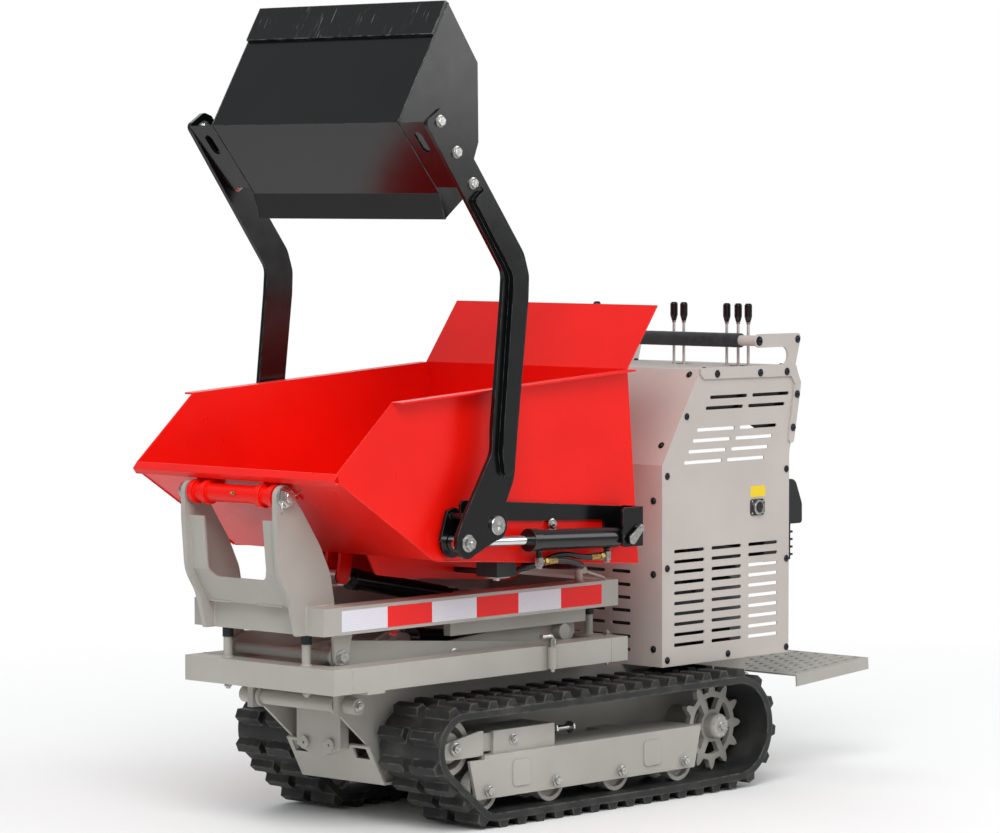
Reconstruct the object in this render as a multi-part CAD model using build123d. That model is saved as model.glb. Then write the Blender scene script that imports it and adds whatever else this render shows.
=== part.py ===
from build123d import *
import math
import os

# Small tracked site dumper with a scissor lift, a front tipping skip and a self-loading bucket.
# X runs forward to the tipping end, Y to the machine's left, Z up. All sizes are in millimetres.
# Places along X are measured from a datum between the tracks, and move_home() sets the origin
# on the ground, at the middle of the whole machine.

# Whole machine
HORN_PIN_X = 549.5
HORN_PIN_Z = 741.6
HORN_BOSS_R = 25.0
PLATFORM_REAR_X = -1315.0
FRONT_X = HORN_PIN_X + HORN_BOSS_R
MID_X = (FRONT_X + PLATFORM_REAR_X) / 2

# Fits between pieces
PIN_FIT = 0.05
SIDE_GAP = 5.0
ROLL_GAP = 0.5
SEAT_GAP = 0.3

# Rubber tracks
TRACK_WIDTH = 180.0
TRACK_Y = 224.6
BELT = 17.0
LUG = 17.0
LUG_PITCH = 60.0
LUG_LENGTH = 34.0
LUG_SPLIT = 24.0
LUG_PHASE = 0.5
LUG_FLANK = 7.0
LUG_MARGIN = 5.0
IDLER_X, IDLER_Z = 172.0, 182.0
IDLER_R = 64.0
IDLER_HALF = 38.0
IDLER_BORE_R = 15.0
SPROCKET_X, SPROCKET_Z = -745.0, 142.0
SPROCKET_TEETH = 12
SPROCKET_DISC = 14.0
SPROCKET_TOOTH = 24.0
SPROCKET_RIM = 13.0
SPOKE_WIDTH = 17.0
SPROCKET_BELT_R = 104.0
HUB_R = 30.0
HUB_IN = 11.0
HUB_LENGTH = 46.0
ROLLER_X = [74.5, -143.3, -361.1, -578.9]
ROLLER_R = 46.7
ROLLER_WIDTH = 96.0
ROLLER_GROOVE = 44.0
ROLLER_CORE_R = 24.0
ROLLER_DISH = 12.0
ROLLER_RIM = 9.0
ROLLER_BOLT_R = 7.0
GROUND_BELT_Z = LUG + BELT
ROLLER_Z = GROUND_BELT_Z + ROLLER_R + 0.3

# Track frames
FRAME_PLATE = 8.0
FRAME_PLATE_Y = TRACK_Y + 62.4
FRAME_TOP_Z = 150.0
FRAME_LOW_Z = 63.0
FRAME_FRONT_TOP_X, FRAME_FRONT_LOW_X = 130.0, 108.0
FRAME_REAR_TOP_X, FRAME_REAR_LOW_X = -640.0, -618.0
PAD_SIZE = 58.0
PAD_LIFT = 19.0
PAD_ROUND = 10.0
PAD_PLATE = 3.0
TENSION_TUBE = 48.0
TENSION_FRONT_X, TENSION_REAR_X = 42.0, -156.0
SLIDE_LENGTH = 40.0
FORK_PLATE = 8.0

# Centre chassis between the tracks
CHASSIS_GAP = 22.6
CHASSIS_HALF = TRACK_Y - TRACK_WIDTH / 2 - CHASSIS_GAP
CHASSIS_PLATE = 8.0
CHASSIS_TOP_Z = 305.0
CHASSIS_LOW_Z = 118.0
CHASSIS_REAR_X = -1000.0
NOSE_X = 308.0
NOSE_HALF = 68.0
NOSE_DEPTH = 26.0
NOSE_LOW_Z = 157.0
NOSE_BOSS_Y = 39.0
CROSS_X = [-35.0, -470.0]
SKID_LINE = [(276.0, 186.0), (229.0, 100.0), (60.0, 100.0)]
SKID_HALF = 128.0
SKID_SHEET = 6.0
CROSS_SIZE = 70.0
PIVOT_X, PIVOT_Z = 360.0, 282.0
PIVOT_TUBE_R = 18.0
PIVOT_HALF = 178.0
SADDLE_Y = 126.0
SADDLE_HALF = 26.0

# Lower frame, a ring of square tube
LOWER_FRONT_X, LOWER_REAR_X = 487.7, -449.1
LOWER_HALF = 232.0
LOWER_TUBE = 55.0
LOWER_Z = 319.6
RAIL_FRONT_X = 60.0
LATCH_X, LATCH_Y = -185.0, LOWER_HALF + 9
LATCH_TUBE_R = 10.0
LATCH_R = 6.0
POST_PLACES = [(462.0, 122.0), (-421.0, 137.0)]
POST_R = 10.0
POST_LENGTH = 46.0

# Upper frame, a ring of square tube
UPPER_FRONT_X, UPPER_REAR_X = 486.9, -450.4
UPPER_HALF = 201.7
UPPER_TUBE = 59.5
UPPER_Z = 443.0
STUB_X, STUB_Y = -338.0, 182.0
STUB_R = 9.0
STUB_LENGTH = 36.0

# Scissor lift
SCISSOR_X = 404.8
SCISSOR_LOW_Z = 345.0
SCISSOR_HIGH_Z = 391.0
SCISSOR_REACH = 718.0
ARM_PLATE = 8.0
LUG_PLATE = 8.0
ARM_FRONT_R, ARM_REAR_R = 21.0, 22.0
ARM_SHOULDER = (25.0, 16.0, 18.0)
ARM_TAIL = (28.0, 2.0, 32.0)
INNER_ARM_Y = 129.0
OUTER_ARM_Y = 150.0
EAR_Y = 163.0
SCISSOR_PIN_R = 9.0
SLIDE_ROLLER_R = 18.0

# Lift cylinder
LIFT_BARREL_X, LIFT_BARREL_Z = -366.0, 352.0
LIFT_EYE_X, LIFT_EYE_Z = 60.0, 392.0
LIFT_BARREL_R = 25.0
LIFT_BARREL_LENGTH = 385.0
LIFT_ROD_START = 60.0
LIFT_ROD_R = 14.0
LIFT_BEAM_AHEAD = 96.0
LIFT_BEAM_R = 15.0

# Tip cylinder
TIP_BARREL_X, TIP_BARREL_Z = -110.0, 474.0
TIP_EYE_X, TIP_EYE_Z = 250.0, 545.0
TIP_BARREL_R = 22.0
TIP_BARREL_LENGTH = 325.0
TIP_ROD_START = 45.0
TIP_ROD_R = 12.5
EYE_WIDTH = 28.0
EYE_R = 20.0
BORE_START = 20.0
GLAND = 24.0
TIP_BEAM = 40.0

# Skip
SKIP_HALF = 312.0
SKIP_WALL = 4.0
LIP_TOP = (553.5, 798.0)
LIP_LOW = (549.0, 778.0)
LIP_HEM = [(565.7, 783.5), (556.0, 771.5)]
SLOPE_FOOT = (262.6, 598.2)
FLOOR_REAR = (-395.0, 550.4)
RIM_FRONT = (388.0, 942.0)
RIM_REAR = (-358.0, 987.0)
HEADBOARD_TOP = (-461.0, 1126.0)
RIM_FLANGE = 25.0
HINGE_LUG_Y = [78.0, 116.0]
HINGE_LUG = 14.0
RIB_Y = 96.0
RIB_PLATE = 6.0
STOP_X = 30.0
STOP_SIZE = 62.0
STOP_LOW_Z = 547.0
HINGE_LUG_R = 26.0
HINGE_TUBE_R = 20.0
HEM_SHEET = 3.0
HINGE_PIN_R = 12.5
HORN_PLATE = 12.0
HORN_Y = 136.0
HORN_BEND_R = 90.0
WEB_TOP_Z = 690.0
WEB_CUT_Z = 560.0
WEB_CUT_HALF = 92.0
WEB_CUT_ROUND = 25.0

# Loader
LOADER_X, LOADER_Z = 133.5, 669.2
ARM_IN_Y = SKIP_HALF + 50
ARM_THICK = 10.0
STIFFENER = 13.0
ARM_OUTLINE = [(262, 640, 20), (236, 687, 20), (146, 827, 60), (146, 875, 60), (114.6, 1155, 60), (110.4, 1212, 40),
               (348.5, 1532, 12), (302, 1562, 12), (279, 1554.5, 12), (46, 1252.7, 60), (30, 1205, 50), (32, 1153.5, 60),
               (66.7, 871.6, 100), (78, 766, 100), (104.7, 716), (102, 665, 30), (133, 637, 30), (215, 604)]
STIFFENER_OUTLINE = [(118, 760, 12), (128, 825, 60), (96, 1155, 60), (92, 1206, 40), (212, 1368, 10), (178, 1392, 10),
                     (60, 1238, 60), (50, 1195, 60), (49, 1153), (84, 872, 100), (92, 790)]
ROD_PIN_X, ROD_PIN_Z = 222.9, 636.0
ROD_PIN_R = 8.0
ROD_BOSS_R = 34.0
PIVOT_BOSS_R = 33.0
PIVOT_STUB_R = 22.0
CYL_Y = SKIP_HALF + 32
CYL_REAR_X, CYL_REAR_Z = -301.0, 616.0
CYL_BARREL_R = 23.0
CYL_BARREL_LENGTH = 306.0
CYL_ROD_START = 211.0
CYL_ROD_R = 11.0
SIDE_PLATE = 6.0
SIDE_PLATE_REAR_X = -340.0
MOUNT_FRONT_X = -273.0
MOUNT_LOW_Z, MOUNT_TOP_Z = 596.0, 684.0
MOUNT_SHEET = 6.0
LOADER_PIN_R = 12.5

# Hydraulic fittings and hoses of the loader's cylinders
PORT_X = [-31.0, -252.0]
PORT_R = 6.5
ELBOW_R = 9.5
ELBOW_Z = 578.0
FERRULE_R = 7.0
FERRULE_START, FERRULE_END = 12.0, 54.0
HOSE_R = 6.5
HOSE_BEND_R = 65.0
HOSE_FRONT = [(-85.0, 344.0, 578.0), (-110.0, 344.0, 578.0), (-195.0, 342.0, 556.0), (-240.0, 210.0, 545.0),
              (-240.0, 102.3, 545.0)]
HOSE_REAR = [(-198.0, 344.0, 578.0), (-180.0, 344.0, 578.0), (-110.0, 326.0, 592.0), (-20.0, 326.0, 562.0),
             (-20.0, 200.0, 548.0), (-20.0, 102.3, 548.0)]

# Bucket in its raised place
BUCKET_HALF = 287.5
BUCKET_SHEET = 5.0
BUCKET_FLOOR_BACK = (347.2, 1531.7)
BUCKET_EDGE = (193.1, 1789.4)
BUCKET_BACK_LOW = (220.2, 1381.7)
BUCKET_BACK_END = (204.2, 1325.7)
BUCKET_SIDE = [(101.2, 1662.7), (99.2, 1491.7), (147.2, 1369.7)]
BRACKET_SHEET = 6.0
BRACKET_DROP = 180.0
BRACKET_DEPTH = 52.0
BRACKET_SLOT = 55.0

# Engine housing
HOUSING_HALF = 244.5
HOUSING_SHEET = 3.0
HOUSING_FRONT_X = -553.8
HOUSING_REAR_X = -1009.5
HOUSING_LOW_Z = 294.0
HOUSING_BEND_Z = 758.0
HOUSING_TOP_Z = 973.0
HOUSING_TOP_FRONT_X = -686.8
HOUSING_TOP_REAR_X = -1037.0
FLOOR_SHEET = 4.0
VENT_HEIGHT = 8.0
VENT_FIRST_X, VENT_LOW_Z = -596.0, 342.0
VENT_LENGTH = 107.0
VENT_COLUMNS, VENT_ROWS = 3, 10
VENT_PITCH_X, VENT_PITCH_Z = 132.5, 24.0
UPPER_VENT_TOP_Z = 908.0
UPPER_VENT_PITCH = 24.6
UPPER_VENT_ROWS = [0, 1, 3, 4, 5, 6]
UPPER_VENT_LENGTH = 287.0
UPPER_VENT_INSET = 76.0
VENT_RIB = 18.0
FRONT_VENT_LENGTH = 59.0
FRONT_VENT_GAP = 20.0
FRONT_VENT_LOW_Z = 329.0
FRONT_VENT_PITCH = 30.0
FRONT_VENT_ROWS = 7

# Engine
ENGINE_REAR_X = -990.0
ENGINE_LENGTH = 330.0
ENGINE_HALF = 130.0
ENGINE_LOW_Z = 350.0
ENGINE_CASE = 190.0
ENGINE_LEAN = 25.0
FIN_COUNT = 5
FIN_PITCH = 16.0
STARTER_R = 88.0
STARTER_Y, STARTER_Z = -50.0, 440.0
FILTER_Y, FILTER_WIDTH = 120.0, 160.0
FILTER_REAR_X = -1114.0
FILTER_TOP_Z, FILTER_NECK_Z, FILTER_LOW_Z = 699.0, 592.0, 505.0

# Handlebar and platform
BAR_X, BAR_Z = -896.0, 1034.0
BAR_R = 12.5
GRIP_R = 17.0
GRIP_SHORT = 52.0
BAR_BOSS_R = 16.0
HANDLE_CUT_X, HANDLE_CUT_R = -999.0, 19.0
BRACKET_PLATE = 5.0
LEVER_X = -925.0
LEVER_INSET = 54.5
LEVER_GROUPS = [[-41.0, -10.0], [HOUSING_HALF - LEVER_INSET - step for step in (66.0, 31.0, 0.0)]]
SIDE_LEVER = (-843.0, 29.5 - HOUSING_HALF)
LEVER_R = 3.5
LEVER_SLOT = 26.0
KNOB_R = 9.0
KNOB_LENGTH = 44.0
LEVER_TOP_Z = 1120.0
PLATFORM_FRONT_X = -1041.0
PLATFORM_HALF = 245.0
PLATFORM_Z = 207.0
PLATFORM_RIM = 28.0
PLATFORM_HINGE_R = 9.0
PLATFORM_EAR_Y = 72.0
PLATFORM_SHEET = 4.0
PLATFORM_RISE = 4.0
TREAD_LENGTH, TREAD_WIDTH = 27.0, 15.0
TREAD_PITCH_X, TREAD_PITCH_Y = 38.5, 31.0
PLATFORM_HINGE_X = PLATFORM_FRONT_X + 20
PLATFORM_HINGE_Z = PLATFORM_Z + PLATFORM_RIM / 2


def block(x0, x1, y0, y1, z0, z1):
    """A box between two corners."""
    return Pos((x0 + x1) / 2, (y0 + y1) / 2, (z0 + z1) / 2) * Box(abs(x1 - x0), abs(y1 - y0), abs(z1 - z0))


def rod_y(x, z, radius, y0, y1):
    """A round bar along Y."""
    return Pos(x, (y0 + y1) / 2, z) * Rot(90, 0, 0) * Cylinder(radius, abs(y1 - y0))


def plate_xz(points, y0, y1):
    """A flat plate in the X-Z plane. A point with a third value gets a corner of that radius."""
    outline = Polygon(*[(p[0], p[1]) for p in points], align=None)
    for p in points:
        if len(p) == 3:
            corner = outline.vertices().sort_by_distance((p[0], p[1], 0))[0]
            outline = fillet(corner, p[2])
    return Pos(0, y1, 0) * Rot(90, 0, 0) * extrude(outline, y1 - y0, dir=(0, 0, 1))


def facing_front(x, z=0.0):
    """A drawing plane across the machine, seen from its front."""
    return Plane(origin=(x, 0, z), x_dir=(0, 1, 0), z_dir=(1, 0, 0))


def slots_xz(spans, height, y0, y1):
    """Round-ended slots through a sheet in the X-Z plane, each given as x0, x1 and z."""
    slots = []
    for x0, x1, z in spans:
        slot = SlotOverall(abs(x1 - x0), height)
        slots.append(Pos((x0 + x1) / 2, y1, z) * Rot(90, 0, 0) * extrude(slot, y1 - y0))
    return slots


def strip(points, thickness):
    """The outline of a bent sheet: the points, and the same points set off to the left."""
    away = []
    for i, point in enumerate(points):
        turns = []
        for a, b in ((i - 1, i), (i, i + 1)):
            if a >= 0 and b < len(points):
                dx, dz = points[b][0] - points[a][0], points[b][1] - points[a][1]
                length = math.hypot(dx, dz)
                turns.append((-dz / length, dx / length))
        nx = sum(t[0] for t in turns) / len(turns)
        nz = sum(t[1] for t in turns) / len(turns)
        scale = thickness / (nx * nx + nz * nz)
        away.append((point[0] + nx * scale, point[1] + nz * scale))
    return list(points) + away[::-1]


def both_sides(shape):
    """The shape and its mirror image across the machine's middle."""
    return [shape, mirror(shape, about=Plane.XZ)]


def along(a, b, distance):
    """The point at a distance from a on the way to b."""
    length = math.hypot(b[0] - a[0], b[1] - a[1])
    return (a[0] + (b[0] - a[0]) * distance / length, a[1] + (b[1] - a[1]) * distance / length)


def cylinder_bar(a, b, start, end, radius, y=0.0):
    """A round bar on the line from a to b, between two distances from a."""
    p, q = along(a, b, start), along(a, b, end)
    path = Line((p[0], y, p[1]), (q[0], y, q[1]))
    return sweep(Plane(origin=path @ 0, z_dir=path % 0) * Circle(radius), path=path)


def loop_point(s, offset):
    """Place and direction on the track's loop at a length s, set off outward from the belt's inside."""
    for kind, length, data in LOOP:
        if s <= length:
            break
        s -= length
    if kind == "line":
        (x0, z0), (dx, dz) = data
        return x0 + dx * s + dz * offset, z0 + dz * s - dx * offset, math.degrees(math.atan2(dz, dx))
    (cx, cz), radius, start = data
    angle = start + s / (radius + PITCH_OFF)
    reach = radius + offset
    return cx + reach * math.cos(angle), cz + reach * math.sin(angle), math.degrees(angle) + 90


def make_loop():
    """The belt runs anticlockwise seen from the right: along the ground backwards to forwards."""
    wheels = [(ROLLER_X[3], ROLLER_Z, GROUND_R), (ROLLER_X[0], ROLLER_Z, GROUND_R),
              (IDLER_X, IDLER_Z, IDLER_R), (SPROCKET_X, SPROCKET_Z, SPROCKET_BELT_R)]
    normals = []
    for i, (x0, z0, r0) in enumerate(wheels):
        x1, z1, r1 = wheels[(i + 1) % 4]
        span = math.hypot(x1 - x0, z1 - z0)
        heading = math.atan2(z1 - z0, x1 - x0)
        normals.append(heading - math.pi / 2 + math.asin((r0 - r1) / span))
    loop = []
    for i, (x0, z0, r0) in enumerate(wheels):
        before, after = normals[i - 1], normals[i]
        while after < before:
            after += 2 * math.pi
        if after - before > math.pi * 1.5:
            after -= 2 * math.pi
        loop.append(("arc", (r0 + PITCH_OFF) * (after - before), ((x0, z0), r0, before)))
        x1, z1, r1 = wheels[(i + 1) % 4]
        p = (x0 + r0 * math.cos(after), z0 + r0 * math.sin(after))
        q = (x1 + r1 * math.cos(after), z1 + r1 * math.sin(after))
        length = math.hypot(q[0] - p[0], q[1] - p[1])
        loop.append(("line", length, (p, ((q[0] - p[0]) / length, (q[1] - p[1]) / length))))
    return loop


PITCH_OFF = BELT / 2
GROUND_R = ROLLER_R + 0.3
LOOP = make_loop()
LOOP_LENGTH = sum(item[1] for item in LOOP)
LUG_COUNT = round(LOOP_LENGTH / LUG_PITCH)


def belt_face(offset):
    """The loop's outline at an offset from the belt's inside: an arc at each wheel, joined by lines."""
    arcs = []
    for kind, length, data in LOOP:
        if kind == "arc":
            centre, radius, start = data
            turn = length / (radius + PITCH_OFF)
            arcs.append(CenterArc(centre, radius + offset, math.degrees(start), math.degrees(turn)))
    edges = []
    for i, arc in enumerate(arcs):
        edges += [arc, Line(arc @ 1, arcs[(i + 1) % len(arcs)] @ 0)]
    return make_face(edges)


def lug_outline(i):
    """The outline of one lug, with sloped flanks, rooted in the belt."""
    x, z, heading = loop_point((i + LUG_PHASE) * LOOP_LENGTH / LUG_COUNT, BELT)
    foot, crown, root = LUG_LENGTH / 2, LUG_LENGTH / 2 - LUG_FLANK, BELT / 4
    outline = Polygon((-foot, root), (foot, root), (foot, 0), (crown, -LUG), (-crown, -LUG), (-foot, 0), align=None)
    return Pos(x, z) * Rot(0, 0, heading) * outline


def make_track():
    """The rubber track: a belt with two rows of lugs, all one piece."""
    belt = extrude(belt_face(BELT) - belt_face(0), TRACK_WIDTH / 2, both=True)
    low, high = LUG_SPLIT / 2, TRACK_WIDTH / 2 - LUG_MARGIN
    lugs = []
    for i in range(LUG_COUNT):
        bar = Pos(0, 0, low) * extrude(lug_outline(i), high - low, dir=(0, 0, 1))
        lugs += [bar, mirror(bar, about=Plane.XY)]
    return Rot(90, 0, 0) * (belt + lugs)


def make_sprocket():
    """The cut drive sprocket with six spokes, and its hub with a domed cap."""
    tip_r, root_r = SPROCKET_BELT_R - 0.5, SPROCKET_BELT_R - SPROCKET_TOOTH
    disc = Circle(root_r)
    for i in range(SPROCKET_TEETH):
        tooth = Polygon((root_r - 4, -13), (tip_r - 6, -6), (tip_r, 0), (tip_r - 6, 6), (root_r - 4, 13), align=None)
        disc += Rot(0, 0, i * 360 / SPROCKET_TEETH) * tooth
    window = Circle(root_r - SPROCKET_RIM) - Circle(HUB_R + 8)
    spokes = [Rot(0, 0, i * 60) * Rectangle(root_r * 2, SPOKE_WIDTH) for i in range(3)]
    window -= spokes
    disc -= window
    wheel = extrude(disc, SPROCKET_DISC / 2, both=True)
    hub = Cylinder(HUB_R, HUB_LENGTH, align=(Align.CENTER, Align.CENTER, Align.MIN))
    hub = fillet(hub.edges().group_by(Axis.Z)[-1], HUB_R / 3)
    return Pos(SPROCKET_X, TRACK_Y, SPROCKET_Z) * Rot(-90, 0, 0) * (wheel + Pos(0, 0, -HUB_IN) * hub)


def make_idler():
    """The front idler: a rim on a web and a bored hub."""
    rim, low = IDLER_R - 0.4, IDLER_R - 14
    hub, web = IDLER_BORE_R + 19, 5.0
    profile = Polygon((low, -IDLER_HALF), (rim, -IDLER_HALF), (rim, IDLER_HALF), (low, IDLER_HALF), (low, web),
                      (hub, web), (hub, IDLER_HALF), (IDLER_BORE_R, IDLER_HALF), (IDLER_BORE_R, -IDLER_HALF),
                      (hub, -IDLER_HALF), (hub, -web), (low, -web), align=None)
    wheel = revolve(Rot(90, 0, 0) * profile, Axis.Z)
    return Pos(IDLER_X, TRACK_Y, IDLER_Z) * Rot(90, 0, 0) * wheel


def make_rollers():
    """Four double flanged bottom rollers with dished ends."""
    half, groove = ROLLER_WIDTH / 2, ROLLER_GROOVE / 2
    rim = ROLLER_R - ROLLER_RIM
    profile = Polygon((0, -half + ROLLER_DISH), (rim, -half + ROLLER_DISH), (rim, -half), (ROLLER_R, -half),
                      (ROLLER_R, -groove), (ROLLER_CORE_R, -groove), (ROLLER_CORE_R, groove), (ROLLER_R, groove),
                      (ROLLER_R, half), (rim, half), (rim, half - ROLLER_DISH), (0, half - ROLLER_DISH), align=None)
    wheel = Rot(90, 0, 0) * revolve(Rot(90, 0, 0) * profile, Axis.Z)
    return [Pos(x, TRACK_Y, ROLLER_Z) * wheel for x in ROLLER_X]


def make_track_frame():
    """The welded beam that carries the rollers: outer and inner plate joined by a top web."""
    inner_y = 2 * TRACK_Y - FRAME_PLATE_Y
    side = [(FRAME_FRONT_TOP_X, FRAME_TOP_Z), (FRAME_FRONT_LOW_X, FRAME_LOW_Z),
            (FRAME_REAR_LOW_X, FRAME_LOW_Z), (FRAME_REAR_TOP_X, FRAME_TOP_Z)]
    web_front = TENSION_FRONT_X + SLIDE_LENGTH
    beam = plate_xz(side, FRAME_PLATE_Y - FRAME_PLATE, FRAME_PLATE_Y)
    beam += plate_xz(side, inner_y, inner_y + FRAME_PLATE)
    beam += block(FRAME_REAR_TOP_X, web_front, inner_y, FRAME_PLATE_Y, FRAME_TOP_Z, FRAME_TOP_Z + FRAME_PLATE)
    for x in ((ROLLER_X[0] + ROLLER_X[1]) / 2, (ROLLER_X[2] + ROLLER_X[3]) / 2):
        low, half = FRAME_LOW_Z + PAD_LIFT, PAD_SIZE / 2
        pad = [(x - half, low, PAD_ROUND), (x + half, low, PAD_ROUND), (x + half, low + PAD_SIZE, PAD_ROUND),
               (x - half, low + PAD_SIZE, PAD_ROUND)]
        beam += plate_xz(pad, FRAME_PLATE_Y, FRAME_PLATE_Y + PAD_PLATE)
    reach = ROLLER_WIDTH / 2 - ROLLER_DISH
    for x in ROLLER_X:
        beam += rod_y(x, ROLLER_Z, ROLLER_BOLT_R + 1, FRAME_PLATE_Y, FRAME_PLATE_Y + 6)
        beam += rod_y(x, ROLLER_Z, ROLLER_BOLT_R, TRACK_Y + reach, FRAME_PLATE_Y - FRAME_PLATE)
        beam += rod_y(x, ROLLER_Z, ROLLER_BOLT_R, inner_y + FRAME_PLATE, TRACK_Y - reach)
    return beam


def make_tensioner():
    """The idler's fork with its cheeks, its slide in the square tension tube and the adjusting bolt."""
    z_mid = IDLER_Z + 2
    half = TENSION_TUBE / 2
    floor_z = FRAME_TOP_Z + FRAME_PLATE
    slide_front = TENSION_FRONT_X + SLIDE_LENGTH
    tube = block(TENSION_REAR_X, TENSION_FRONT_X, TRACK_Y - 50, TRACK_Y + 50, floor_z, z_mid + half)
    slide = block(TENSION_FRONT_X, slide_front, TRACK_Y - 42, TRACK_Y + 42, z_mid - half + 4, z_mid + half - 4)
    fork = block(slide_front - 4, slide_front + 12, TRACK_Y - 50, TRACK_Y + 50, z_mid - 20, z_mid + 20)
    cheek = [(slide_front - 4, z_mid - 25), (slide_front - 4, z_mid + 28), (slide_front + 12, z_mid + 28),
             (IDLER_X + 27, z_mid + 9), (IDLER_X + 34, z_mid + 2), (IDLER_X + 34, z_mid - 12),
             (IDLER_X + 22, z_mid - 27), (slide_front + 12, z_mid - 27)]
    tensioner = tube + slide + fork
    for side in (-1, 1):
        y0 = TRACK_Y + side * (IDLER_HALF + 8)
        y1 = y0 + side * FORK_PLATE
        tensioner += plate_xz(cheek, min(y0, y1), max(y0, y1))
    tensioner += rod_y(IDLER_X, IDLER_Z, IDLER_BORE_R - 0.1, TRACK_Y - IDLER_HALF - 22, TRACK_Y + IDLER_HALF + 22)
    return tensioner + Pos(TENSION_REAR_X - 16, TRACK_Y, z_mid) * Rot(0, 90, 0) * Cylinder(6, 32)


def make_chassis():
    """The centre chassis: two long side plates, a deck sheet, the nose box and two cross beams."""
    nose_r = PIVOT_TUBE_R + 6
    side = [(PIVOT_X, PIVOT_Z - nose_r), SKID_LINE[0], SKID_LINE[1], SKID_LINE[2], (SKID_LINE[2][0] - 18, CHASSIS_LOW_Z),
            (CHASSIS_REAR_X + 200, CHASSIS_LOW_Z, 40), (CHASSIS_REAR_X, HOUSING_LOW_Z - 54), (CHASSIS_REAR_X, HOUSING_LOW_Z),
            (-500, HOUSING_LOW_Z), (-500, CHASSIS_TOP_Z), (PIVOT_X - 40, CHASSIS_TOP_Z), (PIVOT_X, PIVOT_Z + nose_r)]
    frame_in = 2 * TRACK_Y - FRAME_PLATE_Y
    under = HOUSING_LOW_Z - CHASSIS_PLATE
    chassis = block(CHASSIS_REAR_X, NOSE_X, -CHASSIS_HALF, CHASSIS_HALF, under, HOUSING_LOW_Z)
    y0, y1 = CHASSIS_HALF, CHASSIS_HALF + CHASSIS_PLATE
    plate = plate_xz(side[::-1], y0, y1) + rod_y(PIVOT_X, PIVOT_Z, nose_r, y0, y1)
    plate -= rod_y(PIVOT_X, PIVOT_Z, PIVOT_TUBE_R + PIN_FIT, y0 - 5, y1 + 5)
    rest = block(LOWER_REAR_X + 10, LOWER_REAR_X + LOWER_TUBE - 10, y0, y1, CHASSIS_TOP_Z, LOWER_Z - SEAT_GAP)
    for s in both_sides(plate) + both_sides(rest):
        chassis += s
    for x in CROSS_X:
        chassis += block(x - CROSS_SIZE / 2, x + CROSS_SIZE / 2, -frame_in, frame_in,
                         FRAME_TOP_Z - CROSS_SIZE + 8, FRAME_TOP_Z + 8)
    face = Polygon((-NOSE_HALF, under), (-NOSE_HALF, NOSE_LOW_Z + 18), (-20, NOSE_LOW_Z), (20, NOSE_LOW_Z),
                   (NOSE_HALF, NOSE_LOW_Z + 18), (NOSE_HALF, under), align=None)
    chassis += facing_front(NOSE_X) * extrude(face, NOSE_DEPTH, dir=(0, 0, -1))
    for s in both_sides(Pos(NOSE_X, NOSE_BOSS_Y, NOSE_LOW_Z + 25) * Rot(0, 90, 0) * (Cylinder(14, 16) - Cylinder(3, 20))):
        chassis += s
    return chassis


def make_drives():
    """Drive motor cases between the chassis and the sprockets."""
    case = rod_y(SPROCKET_X, SPROCKET_Z, 40, CHASSIS_HALF + CHASSIS_PLATE, TRACK_Y - HUB_IN)
    return both_sides(case)


def make_skid():
    """The folded skid pan under the nose, with a window on each side of the nose box."""
    pan = plate_xz(strip(SKID_LINE, SKID_SHEET), -SKID_HALF, SKID_HALF)
    (x1, z1), (x0, z0) = SKID_LINE[0], along(SKID_LINE[0], SKID_LINE[1], 38)
    window = block(x0 - 20, x1 + 10, NOSE_HALF + 6, SKID_HALF - 12, z0, z1 - 9)
    return pan - both_sides(window)


def make_pivot():
    """The cross tube at the nose on which the lower frame tilts, with its gussets."""
    return rod_y(PIVOT_X, PIVOT_Z, PIVOT_TUBE_R, -PIVOT_HALF, PIVOT_HALF)


def ring_frame(front, rear, half, tube, z):
    """A closed rectangular frame of square tube."""
    outer = block(rear, front, -half, half, z, z + tube)
    inner = block(rear + tube, front - tube, -half + tube, half - tube, z - 1, z + tube + 1)
    return outer - inner


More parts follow.
